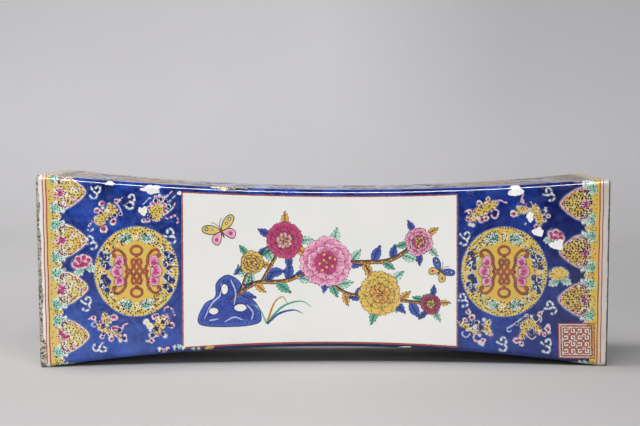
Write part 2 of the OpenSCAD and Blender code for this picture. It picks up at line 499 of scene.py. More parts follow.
class Pen:
    """Paints enamels on a face in local millimetres, from a place, a turn in degrees, a size and a flip."""

    def __init__(self, face, x, w, turn=0.0, size=1.0, flip=False):
        self.face, self.x, self.w, self.turn, self.size, self.flip = face, x, w, turn, size, flip

    def at(self, p):
        a = math.radians(self.turn)
        x, y = p[0]*self.size, p[1]*self.size
        x, y = x*math.cos(a) - y*math.sin(a), x*math.sin(a) + y*math.cos(a)
        return Vector((self.x + (-x if self.flip else x), self.w + y))

    def sub(self, x, y, turn=0.0, size=1.0):
        """Pen for a detail at a local place."""
        at = self.at((x, y))
        return Pen(self.face, at.x, at.y, self.turn + turn, self.size*size, self.flip)

    def on_rounding(self, p):
        """Whether a place lies on or next to the rounding of a long edge."""
        u = max(-1.0, min(1.0, p.x/row_limit(self.face, p.y)))
        return abs(p.y - centre(self.face, u)) > mitre_span(self.face, u) - ROUNDING/2 - ROUNDING_MARGIN

    def follow_rounding(self, spots, faces):
        """Splits faces on a rounded edge until they follow it closely."""
        near = [self.on_rounding(p) for p, _, _ in spots]
        if not any(near):
            return spots, faces
        spots = list(spots)
        faces = [t for f in faces for t in ((f[0], f[1], f[2]), (f[0], f[2], f[-1]))[:len(f) - 2]]
        for _ in range(SPLIT_ROUNDS):
            middles = {}

            def middle(a, b):
                key = (min(a, b), max(a, b))
                if not (near[a] or near[b]) or abs(spots[a][0].y - spots[b][0].y) < SPLIT_LENGTH:
                    return None
                if key not in middles:
                    middles[key] = len(spots)
                    spots.append(tuple((p + q)/2 for p, q in zip(spots[a], spots[b])))
                    near.append(self.on_rounding(spots[-1][0]))
                return middles[key]

            faces = [t for a, b, c in faces
                     for t in split_triangle((a, b, c), (middle(a, b), middle(b, c), middle(c, a)))]
            if not middles:
                break
        return spots, faces

    def add(self, enamel, spots, faces):
        """Stores (place, lift, shade) spots and their faces, turned to face outward."""
        spots, faces = self.follow_rounding(spots, faces)
        points, kept, shades = coat(self.face, enamel)
        start = len(points)
        points.extend(skin(self.face, p.x, p.y, lift) for p, lift, _ in spots)
        shades.extend(shade for _, _, shade in spots)
        out = skin_normal(self.face, spots[0][0].x, spots[0][0].y)
        for f in faces:
            a, b, c = (points[start + i] for i in f[:3])
            turned = (b - a).cross(c - a).dot(out) < 0
            kept.append(tuple(start + i for i in (f[::-1] if turned else f)))

    def fill(self, outline, enamel, level, smooth=True, tone=0.0):
        """Area within an outline. Its shade grows from the edge inward."""
        loop = curve(outline, closed=True, step=1.0/self.size) if smooth else [Vector(p) for p in outline]
        loop = [self.at(p) + Vector((jitter(0.1), jitter(0.1))) for p in loop]
        low, high = extent(loop)
        width = max(high[0] - low[0], high[1] - low[1])
        step = max(0.7, min(3.5, width/7))
        columns, rows = int((high[0] - low[0])/step) + 1, int((high[1] - low[1])/step/ROW_SPACING) + 1
        grid = [(low[0] + (i + 0.5*(j % 2))*step, low[1] + j*step*ROW_SPACING)
                for j in range(rows + 1) for i in range(columns + 1)]
        kept = inside(grid, loop) & (edge_distance(grid, loop) > step*0.45)
        found, triangles = fill_loops([loop], [p for p, keep in zip(grid, kept) if keep])
        away = edge_distance([tuple(p) for p in found], loop)
        soft = max(2.0*self.size, min(3.6, 0.3*width))
        spots = [(p, lift_of(level) - (FILL_DROP if d < 1e-4 else 0.0), min(1.0, tone + d/soft))
                 for p, d in zip(found, away)]
        self.add(enamel, spots, triangles)

    def disc(self, x, y, radius, enamel, level, squash=1.0, turn=0.0, count=12, rough=0.09):
        """Small round or oval spot with an uneven rim and its shade at the middle."""
        here = self.sub(x, y, turn)
        rim = []
        for i in range(count):
            a = 2*math.pi*i/count
            r = radius*rng.uniform(1 - rough, 1 + rough)
            rim.append((here.at((r*math.cos(a), r*squash*math.sin(a))), lift_of(level) - STROKE_DROP, 0.0))
        spots = [(here.at((0, 0)), lift_of(level), 1.0)] + rim
        self.add(enamel, spots, [(0, 1 + i, 1 + (i + 1) % count) for i in range(count)])

    def dot(self, x, y, radius, enamel="black", level=5):
        self.disc(x, y, radius, enamel, level, count=6)

    def course(self, points, closed):
        """Places of local points on the face, each with the direction square to the line through them."""
        path = [self.at(p) for p in points]
        found = []
        for i, p in enumerate(path):
            before = path[i - 1] if i or closed else p
            after = path[(i + 1) % len(path)] if i + 1 < len(path) or closed else p
            run = (after - before).normalized()
            found.append((p, Vector((-run.y, run.x))))
        return found

    def stroke(self, points, width, enamel, level, closed=False, taper="none", shift=0.0, smooth=True):
        """Brush line along a curve. taper is none, ends or tail, and shift moves the line sideways."""
        path = curve(points, closed, step=0.8/self.size) if smooth else [Vector(p) for p in points]
        lift = lift_of(level)
        spots = []
        for i, (p, side) in enumerate(self.course(path, closed)):
            t = i/max(1, len(path) - 1)
            slim = 1.0
            if taper != "none":
                slim = (math.sin(math.pi*(0.06 + 0.88*t)) if taper == "ends" else 1.04 - t)**0.6
            half = width*self.size/2*slim*rng.uniform(0.84, 1.14)
            p = p + side*shift*self.size*(-1 if self.flip else 1)
            spots += [(p + side*half, lift - STROKE_DROP, 0.0), (p, lift + 0.01, 1.0),
                      (p - side*half, lift - STROKE_DROP, 0.0)]
        self.add(enamel, spots, grid_faces(len(path), 3, closed=closed))

    def dashes(self, points, width, enamel, level, run, gap):
        """Broken brush line along a curve."""
        step = 0.6
        path = curve(points, step=step)
        start = 0
        while start + 3 < len(path):
            count = max(3, round(run*rng.uniform(0.6, 1.4)/step))
            self.stroke(path[start:start + count], width*rng.uniform(0.7, 1.25), enamel, level)
            start += count + round(gap*rng.uniform(0.5, 1.5)/step)

    def glow(self, outline, width, closed=True):
        """Pale bleed of the glaze around an outline, or on both sides of a line."""
        course = self.course(curve(outline, closed, step=1.2/self.size), closed)
        path = [p for p, _ in course]
        area = sum(a.x*b.y - a.y*b.x for a, b in zip(path, path[1:] + path[:1]))
        outward = -1.0 if closed and area > 0 else 1.0
        if closed:
            rings = ((-0.5, 0.0, 1.0), (0.3, 0.0, 0.9), (0.6, 0.0, 0.4), (1.0, STROKE_DROP, 0.0))
        else:
            rings = ((-1.0, STROKE_DROP, 0.0), (-0.5, 0.0, 0.6), (0.0, 0.0, 1.0), (0.5, 0.0, 0.6),
                     (1.0, STROKE_DROP, 0.0))
        spots = []
        for p, side in course:
            reach = width*rng.uniform(0.75, 1.25)
            for share, drop, shade in rings:
                spots.append((p + side*outward*share*reach, lift_of(0) - drop, shade))
        self.add("glow", spots, grid_faces(len(path), len(rings), closed=closed))

    def stipple(self, outline, spacing, radius, enamel="black", level=5, margin=0.6):
        """Scattered dots within an outline."""
        loop = curve(outline, closed=True)
        low, high = extent(loop)
        spots = []
        y = low[1]
        while y < high[1]:
            x = low[0] + rng.uniform(0, spacing)
            while x < high[0]:
                spots.append((x + jitter(0.3)*spacing, y + jitter(0.3)*spacing))
                x += spacing
            y += spacing*ROW_SPACING
        kept = inside(spots, loop) & (edge_distance(spots, loop) > margin)
        for (x, y), keep in zip(spots, kept):
            if keep:
                self.dot(x, y, radius*rng.uniform(0.75, 1.2), enamel, level)


def patch(face, enamel, level, rows):
    """Sheet of enamel through rows of (x, w) places."""
    spots = [(Vector(p), lift_of(level), 1.0) for row in rows for p in row]
    Pen(face, 0, 0).add(enamel, spots, grid_faces(len(rows), len(rows[0])))


# Ornaments

def blossom(pen, radius, petals, heart):
    """Round flower of overlapping cream petals with darker hearts."""
    for i in range(petals):
        a = 2*math.pi*(i + 0.25)/petals
        x, y = 0.58*radius*math.cos(a), 0.58*radius*math.sin(a)
        pen.disc(x, y, radius*0.46, "cream", 3)
        pen.disc(x*0.95, y*0.95, radius*0.27, heart, 4)
    pen.disc(0, 0, radius*0.36, "cream", 4)


LEAF_SPRAY = mirrored([(0, 1.8), (1.4, 4.4), (3.2, 3.2), (4.6, 5.4), (6.0, 3.2), (8.4, 4.5), (8.2, 2.0),
                       (11.4, 2.0), (9.8, 0)])


def leaf_spray(pen, level=2):
    """Ragged pale turquoise leaf with veins, whitish tips and many dots."""
    pen.fill(LEAF_SPRAY, "turquoise", level)
    for x, y in ((4.6, 3.8), (4.6, -3.8), (8.0, 2.8), (8.0, -2.8), (10.4, 0.2)):
        pen.disc(x*0.8, y*0.8, 1.3, "mint", level + 1, count=9, rough=0.35)
        pen.stroke([(1.0, y*0.2), (x*0.6, y*0.55), (x*0.9, y*0.9)], 0.45, "green", level + 1, taper="tail")
        pen.disc(x*1.04, y*1.1, 1.1, "white", level + 1, count=8, rough=0.35)
    pen.stipple(LEAF_SPRAY, 1.8, 0.44, level=level + 3, margin=-0.4)


LAPPET = mirrored([(0, 6.0), (3.5, 9.0), (7.5, 10.9), (11.7, 10.0), (16.8, 6.6), (20.6, 3.2), (22.3, 0)])
LAPPET_RIM = [(3.6, 8.7), (7.4, 10.5), (11.5, 9.6), (16.4, 6.3), (20.1, 3.0), (21.8, 0)]
LAPPET_RIM += [(x, -y) for x, y in reversed(LAPPET_RIM[:-1])]
LAPPET_MIDDLE = 9
LAPPET_HOOK = [(7.4, 9.5), (5.2, 8.6), (4.4, 7.0), (5.8, 6.0)]
FAN_PETAL = mirrored([(0.5, 0.5), (2.0, 1.2), (3.6, 0.9), (4.2, 0)])
NOTCH = mirrored([(0, 4.6), (3.0, 3.6), (6.6, 0)])
# Spacing and radius of the dots, mottling and rim of the lappets at each end
LAPPET_STYLE = {
    -1: (2.1, 0.5, ("straw", "straw", "cream", "lime", "cream", "cream", "lilac"), "cream"),
    1: (1.8, 0.64, ("yellow", "lime", "straw", "ochre", "yellow"), "rose"),
}


def lappet(pen, spacing, dot_radius, tints, rim):
    """Pointed petal of a border: dotted yellow with a pale edge, a broken pink line and a fan flower."""
    def drawn_in(p, share_x, share_y):
        return LAPPET_MIDDLE + (p[0] - LAPPET_MIDDLE)*share_x, p[1]*share_y

    pen.glow(LAPPET, 1.2)
    pen.fill(LAPPET, "yellow", 1)
    for _ in range(54):
        x, y = rng.uniform(2.0, 20.0), jitter(9.0)
        if abs(y) < 0.6*(22 - x):
            pen.disc(x, y, rng.uniform(0.8, 1.9), rng.choice(tints), 2, rough=0.35)
    pen.stroke(LAPPET_RIM, 0.7, rim, 3)
    line = [drawn_in(p, 0.93, 0.92) for p in LAPPET_RIM]
    pen.dashes(line, 1.1, "rose", 3, 2.6, 1.4)
    pen.dashes(line, 0.8, "magenta", 4, 2.4, 1.6)
    for p in curve(LAPPET_RIM, step=1.5):
        share = rng.choice((0.82, 0.86, 0.97))
        pen.dot(*drawn_in(p, share, share), 0.42)
    for side in (1, -1):
        pen.stroke(scaled(LAPPET_HOOK, 1, side), 1.1, "magenta", 4, taper="ends")
        pen.stroke([(10.0, -5.4 + side), (10.6, -5.4), (11.2, -5.4 - side)], 0.7, "magenta", 4)
    pen.stipple(LAPPET, spacing, dot_radius, margin=1.9)
    for turn in (-128, -84, -42, 0, 42, 84, 128):
        petal = pen.sub(5.2, -0.2, turn + jitter(12), rng.uniform(0.8, 1.15))
        petal.fill(FAN_PETAL, rng.choice(("pink", "magenta", "lilac")), 3)
        petal.stroke([(0.4, 0), (2.0, 0.1), (3.2, 0)], 0.8, "magenta", 4, taper="tail")
        pen.dot(5.2 + 4.1*math.cos(math.radians(turn)), -0.2 + 4.1*math.sin(math.radians(turn)), 0.42)
    pen.disc(5.8, -0.2, 1.2, "magenta", 4, rough=0.25)
    pen.disc(0.8, 0, 0.9, "rose", 3)
    pen.dot(0.8, 0, 0.45, "magenta", 4)


def border_x(face, w, sign, inset):
    """Place along the length at a distance from the end of a long slab."""
    return sign*(row_limit(face, w) - inset)


def lappet_border(face, sign, centres, gap_from, gap_to):
    """Border at one end of a face: a yellow strip, the lappets and the leaves in the gaps between them."""
    span = mitre_span(face, sign)
    rows = []
    dotter = Pen(face, 0, 0)
    for i in range(41):
        w = centre(face, sign) + span*(i/20 - 1)
        wave = 4.6 + 0.5*math.sin(i*1.7)
        rows.append([(border_x(face, w, sign, inset), w) for inset in (-0.6, 1.5, wave)])
        dotter.dot(border_x(face, w, sign, rng.uniform(1.7, 4.4)), w + jitter(1), 0.42)
    patch(face, "yellow", 1, rows)
    pitch = centres[0] - centres[1]
    gaps = [centres[0] + pitch/2] + [c - pitch/2 for c in centres]
    for w in gaps:
        if gap_from < w < gap_to:
            notch = Pen(face, border_x(face, w, sign, 3.0), w, flip=sign > 0)
            notch.fill(NOTCH, "yellow", 1)
            notch.stipple(NOTCH, 2.0, 0.44)
    for w in centres:
        lappet(Pen(face, border_x(face, w, sign, 3.6), w, flip=sign > 0), *LAPPET_STYLE[sign])
    for w in gaps:
        for side in (1, -1):
            at = w + side*5.2
            if gap_from < at < gap_to:
                spray = Pen(face, border_x(face, at, sign, 2.6), at, turn=side*9, size=0.95, flip=sign > 0)
                spray.glow(LEAF_SPRAY, 1.4)
                leaf_spray(spray)


KNOT_ARM = ((6.0, 2.0), (7.2, 5.4), (7.4, 9.4), (9.6, 13.0), (12.6, 14.6), (15.4, 13.0), (15.0, 10.4))


def knot_emblem(pen):
    """Endless knot on its corner, with four scrolling arms and a ring above and below."""
    pitch, reach, width = 4.0, 6.2, 2.0

    def line(points, thick=width, closed=False):
        pen.stroke(points, thick, "iron", 3, closed)

    def tall(points):
        return [((p - q)*0.50, (p + q)*0.80) for p, q in points]

    for flip in (False, True):
        runs = [[(-reach, k*pitch), (0, k*pitch), (reach, k*pitch)] for k in (-1, 0, 1)]
        for end in (1, -1):
            runs.append([(reach*end, 0), ((reach + 1.4)*end, pitch*0.5*end), (reach*end, pitch*end)])
        for run in runs:
            line(tall([(q, p) if flip else (p, q) for p, q in run]))
    for side in (1, -1):
        corner = ((reach, -pitch), (reach + 1, -(reach + 1)), (pitch, -reach))
        line(tall(scaled(corner, side, side)))
        line([(x, side*14.0 + y) for x, y in oval(3.7, 3.0, 8)], 1.9, True)
        line([(0, side*9.0), (0, side*11.4)], 2.4)
        for way in (1, -1):
            arm = scaled(KNOT_ARM, side, way)
            line(arm, 2.1)
            pen.disc(14.6*side, 10.8*way, 1.7, "iron", 3)
            for x, y in curve(arm, step=1.9):
                pen.dot(x + jitter(1.1), y, 0.4, rng.choice(("brown", "black")), 4)


def blue_flower(pen):
    """Loose dark blue flower with pale and black strokes."""
    for x, y, r in ((-0.6, 2.8, 1.7), (1.0, 1.0, 2.0), (-0.4, -1.4, 2.1), (0.8, -3.6, 1.5)):
        pen.disc(x, y, r + 0.4, "sky", 2, rough=0.25)
        pen.disc(x, y, r, "navy", 3, rough=0.25)
    for a in (10, 70, 160, 215, 250, 320):
        x, y = math.cos(math.radians(a)), math.sin(math.radians(a))
        stroke = [(0.8*x, 1.2*y), (1.8*x - 0.5*y, 2.6*y + 0.5*x), (2.8*x, 4.4*y)]
        pen.stroke(stroke, 0.55, rng.choice(("sky", "white", "black")), 4, taper="tail")


def fruit(pen, radius):
    """Pointed pink fruit with a lilac border and dots around it."""
    drop = mirrored([(1.25, 0), (0.55, 0.72), (-0.3, 0.88), (-0.9, 0.4), (-1.0, 0)])
    rim = scaled(drop, radius*1.16, radius*1.16)
    pen.fill(rim, "lilac", 2)
    pen.fill(scaled(drop, radius*1.06, radius*1.04), "pink", 3, tone=0.25)
    for _ in range(6):
        x, y = rng.uniform(-0.4, 0.3)*radius, jitter(0.3)*radius
        pen.disc(x, y, radius*0.28, "magenta", 4, rough=0.4)
    for x, y in curve(rim, closed=True, step=1.2):
        pen.dot(x, y, 0.42, level=4)


def medallion_rim(pen, ring):
    """Pale and yellow teeth around a medallion, with dots between them."""
    teeth = 96
    for i in range(teeth):
        tint = rng.choice(("straw", "yellow", "yellow", "lime"))
        pen.disc(*ring(0.985, 360*i/teeth), 0.75, tint, 1, count=7)
        pen.dot(*ring(rng.uniform(0.90, 1.0), 360*(i + 0.5)/teeth), 0.56)


def medallion_ground(pen, ring):
    """Mottled ground between a medallion's rim and its knot, with loose strokes toward the four corners."""
    for i in range(120):
        x, y = ring(rng.uniform(0.70, 0.91), rng.uniform(0, 360))
        tint = rng.choice(("cream", "straw", "ochre", "ochre", "lime", "mint"))
        pen.disc(x, y, rng.uniform(0.6, 1.5), tint, 3, count=8, rough=0.35)
        pen.dot(x + jitter(1), y + jitter(1), 0.56)
        corner = 40 + 100*(i % 4 // 2) + 180*(i % 2)
        mark = pen.sub(*ring(rng.uniform(0.72, 0.9), corner + jitter(26)))
        bend = [(jitter(1), jitter(1)) for _ in range(3)]
        tint = rng.choice(("navy", "black", "green", "cream", "navy", "mint"))
        mark.stroke(bend, 0.75, tint, 4, taper="tail")


def medallion_wreath(pen, ring):
    """Leaves and a blossom above and below a medallion's knot, blue flowers and a blossom at its sides."""
    for top in (90, 270):
        for side in (1, -1):
            leaf_spray(pen.sub(*ring(0.79, top + 9*side), top + 106*side, 0.8), 3)
        blossom(pen.sub(*ring(0.79, top)), 2.9, 5, "yellow")
        for _ in range(40):
            pen.dot(*ring(0.79 + jitter(0.13), top + jitter(32)), 0.44, level=6)
    for side in (0, 180):
        for spread in (-19, 18):
            blue_flower(pen.sub(*ring(0.80, side + spread), jitter(15), 1.35))
        blossom(pen.sub(*ring(0.84, side)), 2.2, 4, "ochre")


def medallion(pen, rx, rz):
    """Yellow disc with a dotted rim, leaves, blue flowers and fruit around a knot."""
    def ring(share, degrees):
        a = math.radians(degrees)
        return rx*share*math.cos(a), rz*share*math.sin(a)

    pen.glow(oval(rx, rz, 24), 1.1)
    pen.fill(oval(rx*0.99, rz*0.99, 24), "yellow", 1)
    medallion_rim(pen, ring)
    medallion_ground(pen, ring)
    medallion_wreath(pen, ring)
    for side in (1, -1):
        for x, y, r, turn in ((11.4, -6.2, 3.2, 98), (13.0, 0.2, 3.7, 90), (11.4, 6.4, 3.2, 82)):
            fruit(pen.sub(x*side, y, turn), r)
    knot_emblem(pen)


CLOUD = ([(-1.3, 3.6), (-0.4, 5.0), (1.2, 4.6), (1.8, 2.4), (0.4, 0.4), (-2.6, 1.4), (-4.7, 3.5)],
         [(0.4, 0.4), (1.2, -1.4), (0.5, -3.0), (-1.2, -3.6), (-3.0, -2.6)])


def cloud(pen):
    """Wisp of cloud: two hooks that meet at a waist, the upper one with a tail."""
    for curl in CLOUD:
        pen.glow(curl, 1.3, closed=False)
    for curl in CLOUD:
        pen.dashes(curl, 1.0, "mist", 1, 3.4, 0.6)
        pen.dashes(curl, 1.2, "white", 2, 1.4, 1.3)
    for x, y in (CLOUD[0][0], CLOUD[1][-1]):
        pen.disc(x, y, 0.9, "mist", 1, rough=0.3)


# Ribboned charms between the medallions and the borders, in millimetres about their middles
CHARMS = (
    dict(bodies=[[(-8.5, -2), (-3.5, 2.5), (0, 5), (0.5, 8), (3, 8.5), (5.5, 6.5), (7, 2.5), (3, 0.5),
                  (0, -2), (-2.5, -6), (-4, -7), (-7.5, -4)]],
         pinks=[(-6, 4, 1.7), (-3, 8.5, 1.7), (-2, -8.5, 2.2), (4, -3.5, 2.0), (6.5, 10, 1.4)],
         holes=[(-4, 2.5, 0.9), (2, -1.5, 1.0), (5.5, 0.5, 1.1), (9, 1.5, 0.9), (11.5, 10, 2.4)],
         whites=[(-2.5, 5.5, 1.0), (9, 10.5, 1.0)],
         ribbons=[[(5.5, 10), (8, 6.5), (9, 4.5), (9.5, 2)],
                  [(-9, -3), (-11.5, -6), (-12.5, -8.5), (-10.5, -9.5), (-8.5, -8)]]),
    dict(bodies=[[(-6.5, 1), (-5, 3), (-2, 4.5), (0.5, 4.5), (3, 1), (3.5, -1.5), (2, -4), (-0.5, -6),
                  (-2.5, -7), (-4.5, -6.5), (-6.5, -2)]],
         pinks=[(-7, 2, 1.1), (-5, 4.5, 1.1), (-0.5, 5.5, 1.0), (2, 5, 1.1), (3.5, 3.5, 1.2), (4, -1, 1.4),
                (-10.5, -6.5, 1.3), (-2.5, 9, 0.9), (2.5, 9, 0.9)],
         holes=[(-2.5, 6.5, 1.3), (1, 7.5, 1.1), (4, 6, 1.2), (-6.5, -4, 1.5), (6, 2.5, 1.1)],
         whites=[(0, 10, 1.0)],
         ribbons=[[(3.5, 8.5), (6, 10.5), (8.5, 13)], [(5.5, 4.5), (7.5, 7), (10.5, 10)],
                  [(4.5, -1.5), (7, 0), (9.5, 3), (10.5, 6)], [(-11, 4), (-8.5, 6.5), (-6.5, 8.5), (-5, 7)],
                  [(-11, -6.5), (-9, -7.5), (-5, -6.5)],
                  [(3, -4), (5.5, -5.5), (9.5, -3.5), (11.5, -4.5), (12, -8), (9, -8.5)]]),
    dict(bodies=[[(-5, 9), (-3.5, 11), (-1, 7.5), (0, 5.5), (-2.5, 2.5), (-5.5, 5.5)],
                 [(-6.5, 5.5), (-8.5, 2.5), (-8, 0), (-3.5, -3), (1.5, -4), (6.5, -7), (7.5, -5.5),
                  (1.5, -1.5), (-4, 0), (-6.5, 2)]],
         pinks=[(2.5, 7, 2.1), (2, -0.5, 1.6), (4, 0, 1.3), (-11, 7, 1.3), (-5.5, -5.5, 1.4), (0.5, -7, 1.7),
                (-0.5, -4.5, 1.1)],
         holes=[(-4.5, 1.5, 1.6), (6, -1.5, 1.4), (9, -7, 1.2), (-4.5, -4, 0.9)],
         whites=[(6.5, -8.5, 1.2), (10, -8.5, 1.1), (9.5, -5.5, 1.1)],
         ribbons=[[(-14.5, 6), (-12, 7), (-9.5, 5.5)], [(-9, 5), (-11.5, 3.5), (-12, 1.5), (-9.5, 1)],
                  [(8, -1), (8.5, 1.5), (10.5, 2.5), (13, 3)]]),
    dict(bodies=[[(-4, -1.5), (-4, 0.5), (-0.5, 6), (2, 7), (4.5, 7), (6.5, 5.5), (6.5, 3), (3, -1),
                  (-0.5, -5.5), (-2, -6.5), (-3.5, -4.5)]],
         pinks=[(-3, 6.5, 1.7), (8.5, 0.5, 1.7), (-5, -9.5, 1.6), (5, 5, 1.1)],
         holes=[(2.5, 3, 1.4), (-2, -1.5, 1.5), (-1.5, 7.5, 0.9), (7, 0.5, 1.2), (2.5, -5, 1.3),
                (-4.5, -6, 1.3)],
         whites=[(-8.5, 3, 2.1), (-6.5, 0.5, 2.1), (-5.5, -2, 1.3), (4, -6.5, 1.5)],
         ribbons=[[(6.5, 7), (4, 9), (3.5, 11.5), (6, 13), (8.5, 11.5), (10, 8), (11.5, 5.5)],
                  [(-9, -9.5), (-7, -10), (-5, -9.5)], [(-5, -4), (-6.5, -6), (-4.5, -7.5)]]),
    dict(bodies=[[(-11, -4), (-7.5, -1.5), (-6, 1), (-1.5, 5), (3.5, 7), (8, 7), (9.5, 6), (7, 2),
                  (2, -1), (-2, -3), (-4.5, -4), (-5.5, -6.5), (-10, -6)]],
         pinks=[(-3, 5.5, 1.7), (3, 8.5, 1.3), (-1.5, -5.5, 2.0), (1.5, -4.5, 1.6), (-9, 0, 1.4),
                (-10.5, -5, 1.3)],
         holes=[(-2, 3.5, 1.1)],
         whites=[(-9, -8.5, 1.2), (-7, -9, 1.2)],
         ribbons=[[(7, 2), (9.5, 0.5), (9.5, -1.5), (8.5, -4), (6, -4), (5, -2)],
                  [(9, 7.5), (11.5, 7.5), (13, 6.5), (15.5, 6)], [(-9, 0), (-11, 0.5), (-13, -1)]]),
    dict(bodies=[[(-9, 4.5), (-5, 5), (-1, 3.5), (3, 6), (6, 2.5), (8.5, -3.5), (8, -6), (6.5, -7.5),
                  (5, -6.5), (2, -1.5), (0, 0.5), (-5, 0.5), (-7, -0.5), (-8.5, -0.5), (-9, 2)]],
         pinks=[(-11, 0, 1.9), (11.5, -1.5, 1.2), (4, -8.5, 1.7), (-5.5, 8.5, 0.9)],
         holes=[(-1, 6, 2.0), (8, 1, 1.3), (9, -2, 1.1), (-11, 0, 0.9)],
         whites=[(9.5, 2, 1.2), (9.5, -4.5, 0.8)],
         ribbons=[[(-4.5, 13), (-6, 9.5), (-5, 7.5), (-3, 7)], [(7.5, 2.5), (9.5, 4), (12, 4)],
                  [(-3, -6), (-4, -8)]]),
    dict(bodies=[[(-13, 4.5), (-8.5, 2.5), (-4.5, -0.5), (0, -2.5), (-0.5, -4), (-4.5, -2.5), (-9, 0)],
                 [(7.5, 5), (9.5, 5), (8.5, -0.5), (10.5, -4.5), (9.5, -5.5), (5, -2.5), (1, -3), (1, -2),
                  (4.5, -1.5), (5.5, 2)]],
         pinks=[(-5.5, 10.5, 1.4), (-3, 7, 1.9), (-7.5, 5, 1.4), (4.5, -8.5, 1.4)],
         holes=[(0, 3.5, 1.4), (3, 0.5, 1.7), (-4, 3.5, 1.0)],
         whites=[(-1, 0.5, 1.4), (2.5, -10, 1.5), (2, -5, 1.0), (4, -11, 1.2), (1, 4, 1.0), (5, 5.5, 1.2)],
         ribbons=[[(-9, -2.5), (-9.5, -4.5), (-7, -6.5), (-4.5, -4.5), (-3.5, -3)],
                  [(-1, -4), (-2, -6.5), (-0.5, -9), (3, -9)], [(-5, 13), (-5.5, 10.5), (-4, 9)]]),
    dict(bodies=[[(-6.5, 2.5), (-3, 5.5), (-1.5, 7), (3, 4.5), (7, 0.5), (8, -2), (6, -3.5), (4, -2.5),
                  (1, 1.5), (-1.5, -1.5), (-2.5, -4.5), (-4, -7), (-7.5, -6), (-5.5, -1)]],
         pinks=[(6.5, 10, 1.3), (-9, -8, 1.9), (-7, -7.5, 1.5), (-5.5, -10.5, 1.3), (11.5, 0, 1.7),
                (9.5, -4, 1.1), (-2, 8.5, 0.9)],
         holes=[(4, 7, 2.1), (1, -2.5, 1.6), (-8.5, 3, 0.9)],
         whites=[(12.5, -2.5, 1.0), (1, 8, 0.9), (12, 2, 1.1)],
         ribbons=[[(9, 12), (6.5, 10), (7.5, 7), (7, 4.5), (5.5, 3)],
                  [(-3, 8.5), (-8, 4.5), (-12, 1.5), (-15, -0.5), (-14, -2.5), (-12, -1.5)],
                  [(-2, -4.5), (0, -6.5), (2, -7), (4.5, -4.5)]]),
)


def charm_body(pen, body):
    """Yellow body of a charm, with pale spots, a cream edge, short ticks across the edge and dots."""
    pen.fill(body, "yellow", 2)
    for _ in range(5):
        x, y = rng.choice(body)
        radius, tint = rng.uniform(0.8, 1.6), rng.choice(("straw", "cream", "lime"))
        pen.disc(x*0.7, y*0.7, radius, tint, 3, rough=0.35)
    pen.dashes(body + body[:1], 0.6, "cream", 3, 2.6, 0.6)
    for x, y in curve(body, closed=True, step=1.5):
        a = rng.uniform(0, 2*math.pi)
        tint = rng.choice(("cream", "rose", "magenta", "navy", "sky", "black", "navy"))
        pen.stroke([(x + t*math.cos(a), y + t*math.sin(a)) for t in (-0.5, 0.4, 1.3)], 0.6, tint, 4)
    pen.stipple(body, 2.0, 0.52, rng.choice(("black", "brown")), 5, margin=0.4)


def pink_lobe(pen, x, y, r):
    """Pink lobe of a charm on a cream rim, darker inward."""
    pen.disc(x, y, r + 0.2, "cream", 3, rough=0.3)
    for part, tint, level in ((0.95, "pink", 4), (0.75, "magenta", 5), (0.4, "navy", 6)):
        dx, dy = jitter(0.3)*r, jitter(0.3)*r
        pen.disc(x + dx, y + dy, r*part, tint, level, rng.uniform(0.55, 1.0), rng.uniform(0, 180), 9, 0.3)


def charm(pen, kind):
    """Ribboned charm: dotted yellow bodies with cream edges, pink and white lobes, dark holes and ribbons."""
    form = CHARMS[kind]
    for body in form["bodies"]:
        pen.glow(body, 1.3)
    for x, y, r in form["pinks"] + form["whites"]:
        pen.sub(x, y).glow(oval(r, r, 8), 0.9)
    for ribbon in form["ribbons"]:
        pen.dashes(ribbon, 1.2, rng.choice(("mist", "sky", "rose")), 1, 3.4, 0.2)
        pen.dashes(ribbon, 0.7, rng.choice(("pink", "navy", "sky", "yellow")), 2, 1.8, 0.9)
    for body in form["bodies"]:
        charm_body(pen, body)
    for x, y, r in form["holes"]:
        pen.disc(x, y, r + 0.4, "cream", 2, rough=0.2)
        pen.disc(x, y, r*1.1, "navy", 4, rough=0.2)
    for x, y, r in form["whites"]:
        pen.disc(x, y, r, "white", 3, rough=0.2)
        pen.disc(x + 0.2, y - 0.1, r*0.45, rng.choice(("rose", "sky", "straw")), 4, rough=0.2)
    for x, y, r in form["pinks"]:
        pink_lobe(pen, x, y, r)


def ground_flower(pen, petal, heart):
    """Flower with two pale leaves, painted alone on the ground."""
    pen.glow(oval(6.6, 4.6, 10), 1.6)
    for x, y, turn in ((2.2, -3.4, -28), (-0.6, -4.2, -150)):
        leaf_spray(pen.sub(x, y, turn, 0.62), 1)
    for x, y, r in ((-4.4, -0.4, 2.2), (-1.8, 2.4, 2.3), (1.6, 2.6, 2.3), (4.2, 0.8, 2.3), (0.2, -1.2, 2.8),
                    (-2.4, -2.0, 1.9), (2.8, -1.6, 2.0)):
        pen.disc(x, y, r + 0.15, "cream", 2, rough=0.2)
        pen.disc(x, y, r, petal, 3, rough=0.2)
        dx, dy = jitter(0.5), jitter(0.5)
        pen.disc(x + dx, y + dy, r*0.78, heart, 4, 0.8, rng.uniform(0, 180), rough=0.3)
    for _ in range(26):
        pen.dot(jitter(5.5), rng.uniform(-3.5, 4), 0.4)


